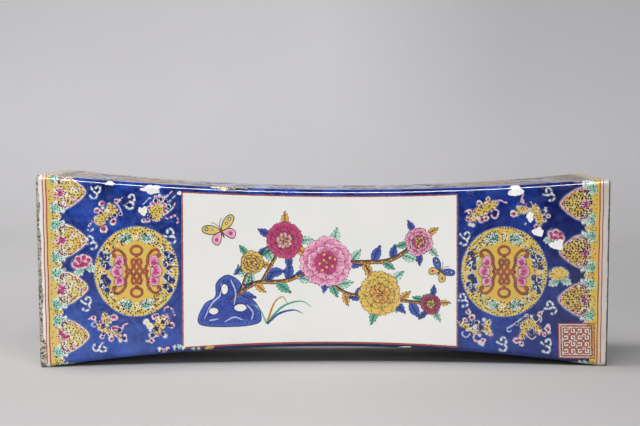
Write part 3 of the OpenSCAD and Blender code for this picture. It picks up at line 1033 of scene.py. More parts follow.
def fret_seal(pen, side):
    """Red framed square filled with a plain squared fret."""
    half = side/2
    pen.fill([(-half, -half), (0, -half), (half, -half), (half, half), (0, half), (-half, half)], "white", 1,
             smooth=False)
    for h, width in ((half - 0.3, 0.8), (half - 1.8, 1.1)):
        corners = [(-h, -h), (h, -h), (h, h), (-h, h), (-h, -h)]
        for a, b in zip(corners, corners[1:]):
            pen.stroke([a, ((a[0] + b[0])/2, (a[1] + b[1])/2), b], width, "red", 3)
    cells = 4
    pitch = (side - 5.6)/cells
    h = pitch*0.40
    fret = [(-h, -h), (h, -h), (h, h), (-h, h), (-h, -h*0.2), (h*0.2, -h*0.2), (h*0.2, h*0.3)]
    for i in range(cells):
        for j in range(cells):
            cell = pen.sub((i - 1.5)*pitch, (j - 1.5)*pitch, 90*((i + 2*j) % 4))
            for a, b in zip(fret, fret[1:]):
                cell.stroke([a, b], 0.9, "red", 3, smooth=False)


def chip(face, x, w, rx, rz):
    """Ragged flake of enamel lost from the surface, showing the white body."""
    outline = []
    count = 28
    for i in range(count):
        a = 2*math.pi*i/count
        r = rng.uniform(0.8, 1.06) + 0.15*math.sin(3*a + x) + 0.08*math.sin(5*a + w)
        outline.append((rx*r*math.cos(a), rz*r*math.sin(a)))
    Pen(face, x, w).fill(outline, "bare", 5, smooth=False)


def edge_flower(face, x, w, turn, size):
    """Half of a flower spray that runs over a long edge."""
    pen = Pen(face, x, w, turn, size)
    for px, py, r, petal in ((-17, 0.6, 1.5, "white"), (-14.6, -0.4, 1.7, "pink"), (-12, 0.8, 1.5, "rose"),
                             (-7, 1.2, 1.8, "mist"), (-4, 1.6, 1.8, "turquoise"), (-1.4, 0.6, 1.6, "white"),
                             (5.4, 0.0, 1.3, "turquoise"), (9.0, -0.3, 1.4, "mist"),
                             (14.6, -0.2, 1.6, "yellow"), (17.6, 0.2, 1.7, "ochre")):
        pen.disc(px, py, r, petal, 2, rough=0.35)
        pen.disc(px + 1.0, py - 0.9, r*0.5, rng.choice(("navy", "green", "magenta")), 3, rough=0.35)
        pen.dot(px - 1.2, py - 0.6, 0.4)


def edge_spray(face, x, w):
    """Cream and yellow spray with a cluster of dots, on the rounding of a long edge."""
    pen = Pen(face, x, w)
    for i in range(16):
        px = -13 + 1.6*i
        tint = rng.choice(("cream", "straw", "yellow"))
        pen.disc(px, rng.uniform(0.2, 1.4), rng.uniform(0.8, 1.4), tint, 2, rough=0.4)
    for px, py in ((-7.0, -0.8), (-5.2, -1.2), (-3.6, -0.6)):
        pen.disc(px, py, 1.2, "straw", 3, rough=0.4)
    for _ in range(22):
        pen.dot(jitter(12), rng.uniform(-0.6, 1.2), 0.45)
    for i in range(7):
        pen.disc(4 + 1.4*i, jitter(0.4), rng.uniform(0.5, 0.8), "black", 4, 0.6, rough=0.3)


# Panel of flowers

PETAL = mirrored([(0, 0.14), (0.35, 0.36), (0.72, 0.47), (0.95, 0.30), (1.04, 0.10), (0.97, 0)])
LEAF = mirrored([(0, 0), (0.25, 0.20), (0.55, 0.23), (0.82, 0.10), (1.0, 0)])


def petal_row(pen, count, radius, start, enamel, line, level):
    """Ring of lobed petals around a flower's middle."""
    for i in range(count):
        petal = pen.sub(0, 0, start + 360*i/count + jitter(5))
        shape = scaled(PETAL, radius*rng.uniform(0.92, 1.06), radius*rng.uniform(1.0, 1.2))
        petal.fill(shape, enamel, level)
        petal.dashes(shape + shape[:1], 0.42, line, level + 1, 1.8, 0.5)
        for x, y in curve(shape, closed=True, step=1.5):
            petal.dot(x + jitter(0.4), y + jitter(0.4), 0.27, level=level + 2)
        for spread in (-0.18, 0.0, 0.18):
            vein = [(radius*0.25, spread*radius*0.5), (radius*0.75, spread*radius)]
            petal.stroke(vein, 0.3, line, level + 1, taper="tail")


def peony(pen, radius, outer, inner, line):
    """Full flower with three rings of petals and a yellow heart."""
    petal_row(pen, 8, radius, 0, outer, line, 3)
    petal_row(pen, 7, radius*0.72, 24, outer, line, 4)
    petal_row(pen, 5, radius*0.46, 8, inner, line, 5)
    for i in range(9):
        a, r = 2.4*i, 0.045*radius*math.sqrt(i)*3
        pen.disc(r*math.cos(a), r*math.sin(a), 0.9, "yellow", 6.5, count=7)


def leaf(pen, length, enamel):
    """Pointed leaf with a mid vein and side veins."""
    shape = scaled(LEAF, length, length*1.05)
    pen.fill(shape, enamel, 1)
    pen.dashes(shape + shape[:1], 0.42, "black", 2, 1.5, 0.6)
    pen.stroke([(0, 0), (length*0.5, length*0.01), (length, 0)], 0.4, "black", 2)
    for t in (0.25, 0.42, 0.6):
        for side in (1, -1):
            vein = [(length*t, 0), (length*(t + 0.15), side*length*0.15*(1.1 - t))]
            pen.stroke(vein, 0.28, "black", 2)


def branch(pen, points, width):
    """Brown bough with a dark edge and knots."""
    pen.stroke(points, width, "brown", 1)
    pen.stroke(points, 0.5, "black", 2, shift=width*0.45)
    pen.stroke(points, 0.4, "ochre", 2, shift=-width*0.15, taper="ends")
    for x, y in curve(points, step=8.0)[1:-1]:
        pen.disc(x, y, width*0.34, "ochre", 3, squash=0.6)
        pen.dot(x + 0.5, y, 0.4)


FORE_WING = ((0.6, 0.6), (3.5, 5.5), (8.6, 7.4), (10.4, 4.6), (6.0, 0.8))
HIND_WING = ((0.6, 0), (5.6, -0.4), (7.6, -3.4), (5.4, -6.6), (2.4, -4.6))
FEELER = ((0.3, 3.4), (1.6, 6.0), (3.4, 7.6))


def butterfly(pen, fore, hind):
    """Butterfly seen from above with spotted wings."""
    for side in (1, -1):
        upper, lower, feeler = (scaled(shape, side, 1) for shape in (FORE_WING, HIND_WING, FEELER))
        pen.fill(upper, fore, 1)
        pen.fill(lower, hind, 1)
        for shape in (upper, lower):
            pen.stroke(shape, 0.5, "black", 3, closed=True)
        for x, y, r in ((7.6, 5.2, 1.2), (4.6, 3.4, 0.8)):
            pen.disc(x*side, y, r, "navy", 2)
            pen.disc(x*side, y, r*0.5, "white", 3)
        pen.disc(4.8*side, -3.2, 1.1, "magenta", 2)
        pen.stroke(feeler, 0.35, "black", 3)
    pen.stroke([(0, 3.6), (0, 0), (0, -4.4)], 1.3, "brown", 4, taper="ends")


def rock(pen):
    """Blue garden rock with hollows and pale strokes."""
    outline = [(-20, -14), (-17, -2), (-10, 3), (-9, 12), (-2, 17), (6, 12), (7, 4), (15, 0), (19, -8),
               (17, -14), (0, -16)]
    pen.fill(outline, "blue", 1)
    pen.stroke(outline, 0.6, "navy", 2, closed=True)
    for x, y, rx, ry in ((-4, 8, 2.4, 3.6), (6, -4, 4.2, 2.6), (-11, -6, 3.2, 2.4)):
        hollow = [(x + px, y + py) for px, py in oval(rx, ry, 8)]
        pen.fill(hollow, "white", 2)
        pen.stroke(hollow, 0.6, "navy", 3, closed=True)
    pen.stipple(outline, 2.6, 0.5, "navy", 2, 1.2)
    for path in ([(-17, -11), (-12, -1), (-7, 4), (-6, 12)], [(0, 14), (3, 6), (2, -2)],
                 [(10, -2), (14, -7), (13, -12)], [(-4, -13), (2, -10), (8, -12)], [(-14, -12), (-8, -11)]):
        pen.stroke(path, 1.1, "sky", 2, taper="ends")
        pen.stroke(path, 0.35, "navy", 3, taper="ends", shift=0.9)


def grass(pen, blades):
    """Long curved blades from one root, given as (reach, height, enamel)."""
    for reach, height, enamel in blades:
        path = [(0, 0), (reach*0.35, height*0.75), (reach*0.75, height), (reach, height*0.75)]
        pen.stroke(path, 2.0, enamel, 1, taper="tail")
        pen.stroke(path, 0.35, "black", 2, taper="tail")


def panel(face, low_x, high_x, margins):
    """White panel with a red frame line, between the blue strips along the long edges."""
    def edge(x, side):
        _, half_z, mid = section(x/RUN)
        return mid + side*(half_z - margins[side > 0])

    xs = [low_x + (high_x - low_x)*i/60 for i in range(61)]
    rows = []
    for x in xs:
        low, high = edge(x, -1), edge(x, 1)
        rows.append([(x, low + (high - low)*j/24) for j in range(25)])
    patch(face, "panel", 0, rows)
    pen = Pen(face, 0, 0)
    for side in (-1, 1):
        pen.stroke([(x, edge(x, side) - 0.4*side) for x in xs[::3]], 0.8 if side > 0 else 1.2, "red", 1)
        x = low_x + 0.5 if side < 0 else high_x - 0.5
        pen.stroke([(x, edge(x, -1) + (edge(x, 1) - edge(x, -1))*t/8) for t in range(9)], 0.9, "red", 1)


def bough(pen, points, width, tints):
    """Branch with leaves in turn on its two sides."""
    path = curve(points, step=7.0)
    for i, (a, b) in enumerate(zip(path[1:], path[2:])):
        run = math.degrees(math.atan2(b.y - a.y, b.x - a.x))
        turn = run + (54 if i % 2 else -50) + jitter(10)
        leaf(pen.sub(a.x, a.y, turn), rng.uniform(9.5, 13.0), tints[i % len(tints)])
    branch(pen, points, width)


# Enamels of a flower's inner petals and of its lines, by that of its outer petals
FLOWER_TINTS = {"pink": ("magenta", "magenta"), "yellow": ("ochre", "iron"), "magenta": ("pink", "brown"),
                "cream": ("yellow", "ochre")}


def flower_scene(pen, flowers, boughs):
    """Flowers on leafy boughs. A flower is (x, y, radius, enamel), and a bough is (points, width)."""
    tints = ("blue", "turquoise", "ochre", "blue", "green")
    for points, width in boughs:
        bough(pen, points, width, tints)
    for k, (x, y, radius, enamel) in enumerate(flowers):
        for i in range(5):
            turn = 72*i + 40*k + jitter(14)
            a = math.radians(turn)
            edge = radius*0.8
            spot = pen.sub(x + edge*math.cos(a), y + edge*math.sin(a), turn + jitter(16))
            leaf(spot, 6.0 + 0.35*radius, tints[(i + k) % len(tints)])
        peony(pen.sub(x, y, 10*k), radius, enamel, *FLOWER_TINTS[enamel])


def peony_scene(pen):
    """Peonies and butterflies by a garden rock, for the front."""
    flower_scene(pen, ((4, 4, 16.5, "pink"), (40, -17, 14.0, "yellow"), (-24, 19, 12.0, "magenta"),
                       (66, 18, 9.0, "pink"), (74, -24, 6.5, "magenta"), (-46, 4, 7.5, "yellow")),
                 (([(-60, -22), (-44, -10), (-22, -8), (4, 4), (28, 4), (48, 6), (66, 18)], 3.0),
                  ([(-40, -10), (-32, 4), (-24, 19)], 2.2), ([(-54, -16), (-50, -6), (-46, 4)], 1.8),
                  ([(-2, 0), (16, -16), (40, -20), (74, -24)], 2.2)))
    grass(pen.sub(-36, -37), ((-14, 13, "turquoise"), (14, 18, "ochre"), (24, 9, "blue"), (30, 15, "green")))
    rock(pen.sub(-60, -22, 0, 1.05))
    butterfly(pen.sub(-66, 25, 24, 1.1), "yellow", "pink")
    butterfly(pen.sub(80, -2, -38, 0.85), "blue", "yellow")


def chrysanthemum_scene(pen):
    """Chrysanthemums, grasses and butterflies by a rock, for the back."""
    flower_scene(pen, ((-14, 2, 15.0, "yellow"), (12, 22, 11.5, "pink"), (-50, -19, 12.0, "magenta"),
                       (-62, 17, 8.0, "cream"), (36, -4, 8.0, "pink")),
                 (([(60, -22), (36, -10), (12, -6), (-14, 2), (-38, 6), (-62, 17)], 2.6),
                  ([(12, -6), (6, 8), (12, 22)], 1.8), ([(-10, 0), (-28, -16), (-50, -19)], 1.8)))
    grass(pen.sub(44, -37), ((16, 16, "turquoise"), (-16, 20, "ochre"), (-26, 10, "blue"), (26, 10, "green")))
    rock(pen.sub(64, -23, 0, 0.95))
    butterfly(pen.sub(58, 18, -20, 1.1), "pink", "blue")
    butterfly(pen.sub(-80, -4, 30, 0.8), "yellow", "turquoise")


# The four long faces and the ends

# Distances of a panel from the lower and the upper long edge
PANEL_MARGINS = (2.5, 4.2)
# Enamels of the flowers on the ground in the two halves of a face
GROUND_TINTS = {-1: ("pink", "magenta"), 1: ("yellow", "ochre")}


def charm_rows(face, places):
    for kind, x, w, flip in places:
        charm(Pen(face, x, w, flip=flip), kind)


def cloud_rows(face, places):
    for x, w, turn, size in places:
        cloud(Pen(face, x, w, turn, size))


def paint_front():
    """The face that the photograph shows, with every ornament in its place."""
    panel("front", -94.5, 90.0, PANEL_MARGINS)
    lappet_border("front", -1, [116.0, 84.0, 52.5, 20.5], 0, 127)
    lappet_border("front", 1, [107.5, 76.0, 44.0], 24, 123)
    charm_rows("front", ((0, -143.7, 99.8, False), (1, -109.0, 103.3, False), (2, -141.9, 25.3, False),
                         (3, -109.8, 25.8, False), (4, 107.0, 102.0, False), (5, 137.8, 100.7, False),
                         (6, 102.4, 24.2, False), (7, 137.5, 24.3, False)))
    cloud_rows("front", ((-150.6, 114.9, -20, 1.0), (-127.4, 108.6, 0, 1.1), (-152.8, 82.3, 40, 1.05),
                         (-100.8, 85.6, 25, 1.15), (-156.4, 41.0, 0, 1.05), (-149.7, 11.4, -90, 1.0),
                         (151.1, 113.5, 35, 1.0), (95.3, 83.1, -10, 1.05), (94.6, 42.4, 30, 1.0),
                         (152.3, 38.2, 40, 1.0), (120.6, 12.8, 10, 1.05), (149.4, 12.0, 0, 1.05)))
    medallion(Pen("front", -124.4, 62.8), 27.4, 29.8)
    medallion(Pen("front", 120.5, 61.9), 28.0, 29.7)
    ground_flower(Pen("front", -160.0, 69.4, 12), "pink", "magenta")
    ground_flower(Pen("front", 154.4, 86.0, -30, 0.85), "pink", "magenta")
    ground_flower(Pen("front", 156.2, 60.7, 0, 0.95), "yellow", "yellow")
    edge_flower("front", -92.5, 10.2, 1.0, 1.0)
    edge_spray("front", -61.0, 118.4)
    fret_seal(Pen("front", 167.8, 16.6, 1), 23.4)
    for x, w, rx, rz in ((-141.4, 121.8, 3.0, 1.7), (-114.4, 117.4, 6.6, 3.2), (-120.0, 103.2, 3.2, 3.2),
                         (128.2, 116.0, 4.9, 4.0), (137.4, 98.7, 2.4, 3.6), (142.6, 88.8, 3.8, 3.2),
                         (155.1, 80.4, 4.8, 3.6), (55.3, 10.7, 4.2, 0.8), (-95.9, 114.8, 1.6, 1.4)):
        chip("front", x, w, rx, rz)


def paint_back():
    """The back, in like manner."""
    panel("back", -92.0, 92.0, PANEL_MARGINS)
    for sign in (-1, 1):
        lappet_border("back", sign, [111.0, 79.5, 48.0, 16.5], 0, 123)
        medallion(Pen("back", sign*122.0, 62.5), 27.6, 29.7)
        ground_flower(Pen("back", sign*156.5, 63.0, 0, 0.95), *GROUND_TINTS[sign])
        clouds = ((151, 112, 20, 1.0), (97, 83, 0, 1.1), (97, 42, 30, 1.0), (152, 37, 60, 1.1),
                  (121, 13, 10, 1.0))
        cloud_rows("back", [(sign*x, *rest) for x, *rest in clouds])
        first = 4 if sign > 0 else 0
        charms = ((141, 99, sign > 0), (108, 102, False), (140, 23, False), (106, 25, False))
        charm_rows("back", [(first + i, sign*x, w, flip) for i, (x, w, flip) in enumerate(charms)])


def paint_level(face):
    """Top or base: borders at the ends, medallions, and charms and flowers on the ground between them."""
    for sign in (-1, 1):
        lappet_border(face, sign, [46.5, 15.5, -15.5, -46.5], -62, 62)
        medallion(Pen(face, sign*118.0, 0.0), 27.0, 27.0)
        charms = ((0, 78, 18), (3, 80, -20), (7, 146, 36), (6, 146, -36), (4, 24, 20), (2, 26, -20))
        charm_rows(face, [(kind, sign*x, w, sign*w > 0) for kind, x, w in charms])
        clouds = ((100, 33, 0, 1.0), (100, -33, 40, 1.0), (52, 28, 70, 1.1), (52, -26, 20, 1.0),
                  (150, 12, 0, 1.0), (150, -14, 30, 1.1))
        cloud_rows(face, [(sign*x, *rest) for x, *rest in clouds])
        ground_flower(Pen(face, sign*54, 2, 8*sign), *GROUND_TINTS[sign])
    ground_flower(Pen(face, 0, 0, 0, 1.3), "pink", "magenta")


def end_lines(side):
    """Red lines around the white edge of an end slab, on all four long faces."""
    for face in ("front", "back", "top", "base"):
        span = mitre_span(face, side)
        ws = [centre(face, side) + span*(i/12 - 1) for i in range(25)]
        for inset, width, enamel in ((5.0, 0.7, "red"), (7.2, 0.8, "iron")):
            xs = [border_x(face, w, side, inset - END) + 0.12*math.sin(i*1.3) for i, w in enumerate(ws)]
            Pen(face, 0, 0).stroke(list(zip(xs, ws)), width, enamel, 2)
        rows = [[(border_x(face, w, side, inset - END), w) for inset in (5.3, 6.1, 6.9)] for w in ws]
        patch(face, "blush", 0, rows)


def end_face_lines(side, material):
    """Red frame line and coin rings on the outer face of an end, as thin flat ribbons."""
    points, faces, shades = [], [], []

    def ribbon(loop, directions, width):
        start = len(points)
        count = len(loop)
        for p, d in zip(loop, directions):
            for share, lift in ((-0.5, 0.02), (0.0, 0.06), (0.5, 0.02)):
                points.append(end_point(side, p + d*width*share, -lift))
                shades.append(1.0 if share == 0 else 0.0)
        for i in range(count):
            a, b = start + 3*i, start + 3*((i + 1) % count)
            for quad in ((a, b, b + 1, a + 1), (a + 1, b + 1, b + 2, a + 2)):
                faces.append(quad[::-1] if side > 0 else quad)

    for inset, width in ((5.0, 1.0), (7.2, 0.6)):
        ribbon(*rounded_square(DEPTH/2 - inset, inset, END_HEIGHT[side] - inset, 5.0), width)
    for radius, width in ((COIN_D/2 + 2.6, 1.2), (COIN_D/2 + 5.0, 0.6)):
        directions = [Vector((math.cos(a), math.sin(a))) for a in (2*math.pi*i/72 for i in range(72))]
        ribbon([Vector((0, END_HEIGHT[side]/2)) + d*radius for d in directions], directions, width)
    piece = make_piece(f"{SIDE_NAME[side]}_end_red_lines", points, faces, material, shade=shades)


# Materials

def srgb(red, green, blue):
    """Linear colour from display values between 0 and 255."""
    def linear(v):
        v /= 255
        return v/12.92 if v <= 0.04045 else ((v + 0.055)/1.055)**2.4
    return linear(red), linear(green), linear(blue), 1.0


class Shader:
    """Node material with a principled shader and short calls to add nodes."""

    def __init__(self, name):
        self.material = bpy.data.materials.new(name)
        self.material.use_nodes = True
        self.tree = self.material.node_tree
        self.base = self.tree.nodes["Principled BSDF"]
        self.place = self.node("ShaderNodeTexCoord").outputs["Object"]

    def node(self, kind, values=(), **settings):
        made = self.tree.nodes.new(kind)
        for key, value in settings.items():
            setattr(made, key, value)
        for key, value in dict(values).items():
            self.put(made.inputs[key], value)
        return made

    def put(self, socket, value):
        if isinstance(value, bpy.types.NodeSocket):
            self.tree.links.new(value, socket)
        else:
            socket.default_value = value

    def set(self, name, value):
        """Value or link of one of the principled shader's sockets."""
        self.put(self.base.inputs[name], value)

    def noise(self, scale, detail, rough=0.55, warp=0.0):
        return self.node("ShaderNodeTexNoise", {"Vector": self.place, "Scale": scale, "Detail": detail,
                                                "Roughness": rough, "Distortion": warp}).outputs["Fac"]

    def span(self, value, low, high, start=0.0, end=1.0):
        """Value brought from one range to another, held within the new one."""
        ranges = {"Value": value, "From Min": low, "From Max": high, "To Min": start, "To Max": end}
        return self.node("ShaderNodeMapRange", ranges).outputs["Result"]

    def maths(self, operation, a, b=0.0):
        return self.node("ShaderNodeMath", {0: a, 1: b}, operation=operation).outputs[0]

    def times(self, a, b):
        return self.maths("MULTIPLY", a, b)

    def plus(self, a, b):
        return self.maths("ADD", a, b)

    def minus(self, a, b):
        return self.maths("SUBTRACT", a, b)

    def mix(self, share, a, b):
        """Mix of two colours, each the output of a node or a triple of display values."""
        ends = [srgb(*colour) if isinstance(colour, tuple) else colour for colour in (a, b)]
        values = {0: share, 6: ends[0], 7: ends[1]}
        return self.node("ShaderNodeMix", values, data_type="RGBA").outputs[2]

    def axis(self, name):
        return self.node("ShaderNodeSeparateXYZ", {0: self.place}).outputs[name]

    def shade(self):
        return self.node("ShaderNodeAttribute", attribute_name="shade").outputs["Fac"]

    def bump(self, *layers):
        """Bump from (height, depth in millimetres) layers."""
        normal = None
        for height, depth in layers:
            made = self.node("ShaderNodeBump", {"Height": height, "Distance": depth*MM, "Strength": 1.0})
            if normal is not None:
                self.put(made.inputs["Normal"], normal)
            normal = made.outputs["Normal"]
        self.set("Normal", normal)


def glaze_surface(shader, roughness, wave=0.10):
    """Surface of fired glaze: nearly smooth, with a slow wave and a fine peel."""
    shader.set("Roughness", roughness)
    shader.bump((shader.noise(75, 1.0), wave), (shader.noise(420, 1.0), 0.008))
    shader.set("IOR", 1.6)


def gloss(shader, low=0.05, high=0.14):
    """Roughness that drifts between two values."""
    return shader.span(shader.noise(60, 4.0), 0.3, 0.7, low, high)


def cobalt_colour(shader):
    """Uneven cobalt with brush streaks: darker at mid height, nearly black in pools along the top and paler
    low down.
    Painted shade darkens it toward the right and at the right end, and makes it nearly black in the strip
    below the panel."""
    length, height = shader.axis("X"), shader.axis("Z")
    pools = shader.span(shader.noise(30, 5.0, 0.62, 1.0), 0.36, 0.64)
    colour = shader.mix(pools, (3, 16, 88), (14, 56, 160))
    streak = shader.span(shader.noise(120, 4.0, 0.65, 1.6), 0.40, 0.68, 0.0, 0.7)
    colour = shader.mix(streak, colour, (50, 92, 186))
    cloudy = shader.span(shader.noise(62, 5.0, 0.6, 0.8), 0.50, 0.72, 0.0, 0.55)
    colour = shader.mix(cloudy, colour, (74, 104, 178))
    brim = shader.times(shader.span(height, 0.094, 0.122), shader.span(shader.noise(52, 4.0), 0.42, 0.60))
    colour = shader.mix(shader.times(brim, 0.85), colour, (3, 6, 44))
    wash = shader.times(shader.span(height, 0.040, 0.002), shader.span(shader.noise(48, 3.0), 0.3, 0.6))
    wash = shader.times(wash, shader.span(length, -0.05, 0.15, 0.75, 0.3))
    colour = shader.mix(wash, colour, (76, 104, 182))
    # Painted shade: darker toward the right, away from the light.
    right = shader.span(shader.noise(34, 4.0, 0.6, 0.8), 0.38, 0.62, 0.35, 0.85)
    right = shader.times(right, shader.span(length, -0.06, 0.16))
    colour = shader.mix(right, colour, (3, 17, 84))
    middle = shader.maths("ABSOLUTE", shader.minus(height, 0.066))
    colour = shader.mix(shader.span(middle, 0.032, 0.012, 0.0, 0.5), colour, (2, 18, 94))
    # Painted shade: darker still at the right end.
    border = shader.span(shader.noise(44, 4.0, 0.6, 0.8), 0.42, 0.60, 0.1, 0.75)
    border = shader.times(border, shader.span(length, 0.138, 0.156))
    colour = shader.mix(border, colour, (2, 12, 72))
    # Painted shade: nearly black low down in the middle of the length, in the strip below the panel over the
    # arch.
    strip = shader.span(shader.maths("ABSOLUTE", length), 0.100, 0.080, 0.0, 0.8)
    strip = shader.times(strip, shader.span(height, 0.022, 0.016))
    return shader.mix(strip, colour, (24, 20, 64))


def cobalt_glaze(name, clear, dull):
    """Cobalt ground under a glaze that is duller in worn spots."""
    shader = Shader(name)
    shader.set("Base Color", cobalt_colour(shader))
    worn = shader.span(shader.noise(105, 2.0, 0.5, 0.4), 0.58, 0.65, clear, dull)
    glaze_surface(shader, worn, wave=0.2)
    return shader.material


def glow_glaze():
    """Cobalt that pales toward a painted edge."""
    shader = Shader("glow_glaze")
    share = shader.times(shader.shade(), shader.span(shader.noise(160, 3.0), 0.25, 0.7, 0.15, 0.6))
    shader.set("Base Color", shader.mix(share, cobalt_colour(shader), (160, 174, 206)))
    glaze_surface(shader, gloss(shader))
    return shader.material


def white_drift(shader, dull, pale):
    """White that drifts slowly between two colours."""
    return shader.mix(shader.span(shader.noise(22, 3.0), 0.35, 0.65), dull, pale)


def panel_glaze():
    """White porcelain glaze with specks."""
    shader = Shader("panel_glaze")
    specks = shader.times(shader.span(shader.noise(620, 2.0), 0.74, 0.80), 0.5)
    white = white_drift(shader, (230, 230, 225), (234, 233, 229))
    shader.set("Base Color", shader.mix(specks, white, (150, 128, 104)))
    glaze_surface(shader, gloss(shader))
    return shader.material


def end_glaze(side):
    """White glaze that stops short of the outer rim: there the rough clay shows on the left, while on the
    right the narrower dark band at the rim and the greyer white are painted shade.
    """
    shader = Shader(f"{SIDE_NAME[side]}_end_glaze")
    if side < 0:
        white = white_drift(shader, (226, 226, 220), (236, 235, 231))
        dull, pale = (138, 126, 108), (206, 198, 182)
        narrow, wide, more = 0.0016, 0.0040, 0.0018
        rim = 0.0004, 0.0007
    else:
        # Right end: greyer white and a dark rim band, painted shade on the end that turns away from the
        # light.
        white = white_drift(shader, (188, 182, 174), (202, 197, 189))
        dull, pale = (74, 70, 64), (116, 110, 100)
        narrow, wide, more = 0.0012, 0.0018, 0.0
        rim = 0.0003, 0.0004
    below = shader.minus(HEIGHT*MM, shader.axis("Z"))
    outer = shader.minus(HALF_LENGTH*MM, shader.times(below, LEAN))
    depth = shader.minus(outer, shader.maths("ABSOLUTE", shader.axis("X")))
    reach = shader.span(shader.noise(70, 5.0, 0.65), 0.3, 0.7, narrow, wide)
    low = shader.span(shader.axis("Z"), 0.05, 0.0, 0.0, more)
    # Rim band: bare rough clay on the left, a painted shadow line on the right.
    bare = shader.span(shader.minus(shader.plus(reach, low), depth), -0.0002, 0.0002)
    bare = shader.times(bare, shader.span(depth, *rim))
    clay = shader.mix(shader.span(shader.noise(300, 4.0, 0.7), 0.35, 0.65), dull, pale)
    clay = shader.mix(shader.span(shader.noise(620, 3.0), 0.50, 0.58), clay, (62, 50, 40))
    shader.set("Base Color", shader.mix(bare, white, clay))
    shader.set("Roughness", shader.span(bare, 0.0, 1.0, 0.09, 0.75))
    shader.bump((shader.noise(75, 1.0), 0.10), (shader.times(bare, shader.noise(500, 4.0)), 0.25))
    shader.set("IOR", 1.56)
    return shader.material


def biscuit():
    """Unglazed clay of the coils inside."""
    shader = Shader("biscuit")
    tone = shader.span(shader.noise(120, 4.0, 0.6), 0.3, 0.7)
    colour = shader.mix(tone, (204, 192, 168), (224, 214, 194))
    colour = shader.mix(shader.span(shader.noise(800, 2.0), 0.66, 0.74), colour, (140, 112, 80))
    shader.set("Base Color", colour)
    shader.set("Roughness", shader.span(tone, 0.0, 1.0, 0.65, 0.85))
    shader.bump((shader.noise(90, 3.0), 0.4), (shader.noise(900, 3.0), 0.05))
    return shader.material


# Display colours of the enamels: at the middle of a stroke, at its edge and, for some, in uneven patches
ENAMELS = {
    "yellow": ((222, 180, 70), (228, 198, 112), (206, 190, 90)),
    "straw": ((232, 216, 156), (228, 206, 130), (212, 206, 140)),
    "ochre": ((206, 146, 58), (224, 178, 96)),
    "turquoise": ((140, 206, 184), (196, 228, 212), (120, 186, 164)),
    "mint": ((196, 228, 210), (220, 236, 222)),
    "lime": ((206, 206, 116), (220, 216, 150)),
    "green": ((70, 158, 132), (108, 184, 158)),
    "rose": ((232, 172, 186), (240, 200, 208)),
    "pink": ((206, 78, 142), (242, 198, 216)),
    "magenta": ((158, 28, 82), (206, 78, 134)),
    "lilac": ((232, 210, 224), (222, 200, 224)),
    "white": ((238, 237, 230), (228, 228, 224)),
    "mist": ((216, 220, 210), (186, 198, 206)),
    "cream": ((238, 226, 186), (232, 228, 208)),
    "iron": ((152, 72, 50), (170, 94, 68), (132, 66, 50)),
    "red": ((150, 58, 48), (172, 88, 74)),
    "blush": ((230, 200, 188), (236, 212, 202)),
    "black": ((20, 18, 24), (38, 34, 40)),
    "navy": ((16, 22, 82), (34, 46, 120)),
    "blue": ((32, 56, 150), (70, 98, 184)),
    "sky": ((150, 168, 218), (186, 198, 228)),
    "brown": ((104, 60, 42), (134, 86, 58)),
}


def enamel_material(name):
    """Overglaze enamel: denser at the middle of a stroke, uneven and glossy, and darkened toward the right by
    painted shade.
    """
    shader = Shader(f"{name}_enamel")
    dense, thin, *patches = ENAMELS[name]
    share = shader.times(shader.shade(), 0.75)
    share = shader.plus(share, shader.span(shader.noise(240, 4.0, 0.65), 0.3, 0.7, -0.3, 0.4))
    colour = shader.mix(shader.span(share, 0.0, 1.0), thin, dense)
    for patch_colour in patches:
        colour = shader.mix(shader.span(shader.noise(170, 2.0), 0.48, 0.66, 0.0, 0.8), colour, patch_colour)
    length = shader.axis("X")
    if name == "yellow":
        colour = shader.mix(shader.span(length, -0.150, -0.172, 0.0, 0.2), colour, (214, 200, 156))
    # Painted shade: every enamel darkens toward the right, away from the light.
    right_shade = (140, 104, 44) if name in ("yellow", "straw", "lime", "cream", "ochre") else (84, 88, 70)
    colour = shader.mix(shader.span(length, 0.0, 0.15, 0.0, 0.22), colour, right_shade)
    shader.set("Base Color", colour)
    glaze_surface(shader, gloss(shader, 0.10, 0.22))
    return shader.material


def bare_material():
    """White body where enamel has flaked off."""
    shader = Shader("bare_body")
    tone = shader.span(shader.noise(260, 4.0), 0.3, 0.7)
    shader.set("Base Color", shader.mix(tone, (226, 224, 220), (244, 243, 240)))
    shader.set("Roughness", shader.span(tone, 0.0, 1.0, 0.35, 0.6))
    shader.bump((shader.noise(700, 3.0), 0.06))
    return shader.material


# Stage, light and camera

def stage_material():
    """Pale paper, its tones painted shade: darker on the floor than on the backdrop, toward the sides, most
    of all the right, and far in front."""
    shader = Shader("pale_paper")
    across, back, height = (shader.axis(name) for name in "XYZ")
    # Painted shade toward the sides, most of all on the right, away from the light.
    sides = shader.plus(shader.span(across, 0.0, -0.3, 0.0, 0.3), shader.span(across, 0.0, 0.3))
    fall = shader.plus(shader.span(back, 0.4, 1.3, 0.50, 0.15), shader.span(height, 0.10, 0.35, 0.0, 0.2))
    tone = shader.span(shader.noise(3.0, 2.0), 0.3, 0.7)
    colour = shader.mix(shader.span(back, 0.2, 1.9), (183, 181, 180), (234, 232, 234))
    colour = shader.mix(shader.times(sides, fall), colour, (140, 138, 141))
    colour = shader.mix(shader.span(height, 0.14, 0.40, 0.0, 0.4), colour, (204, 202, 204))
    colour = shader.mix(shader.times(tone, 0.05), colour, (120, 120, 120))
    # Painted shade: the floor far in front darkens toward the dim surround.
    colour = shader.mix(shader.span(back, -0.9, -1.3), colour, (112, 112, 114))
    shader.set("Base Color", colour)
    shader.set("Roughness", shader.span(tone, 0.0, 1.0, 0.75, 0.85))
    return shader.material


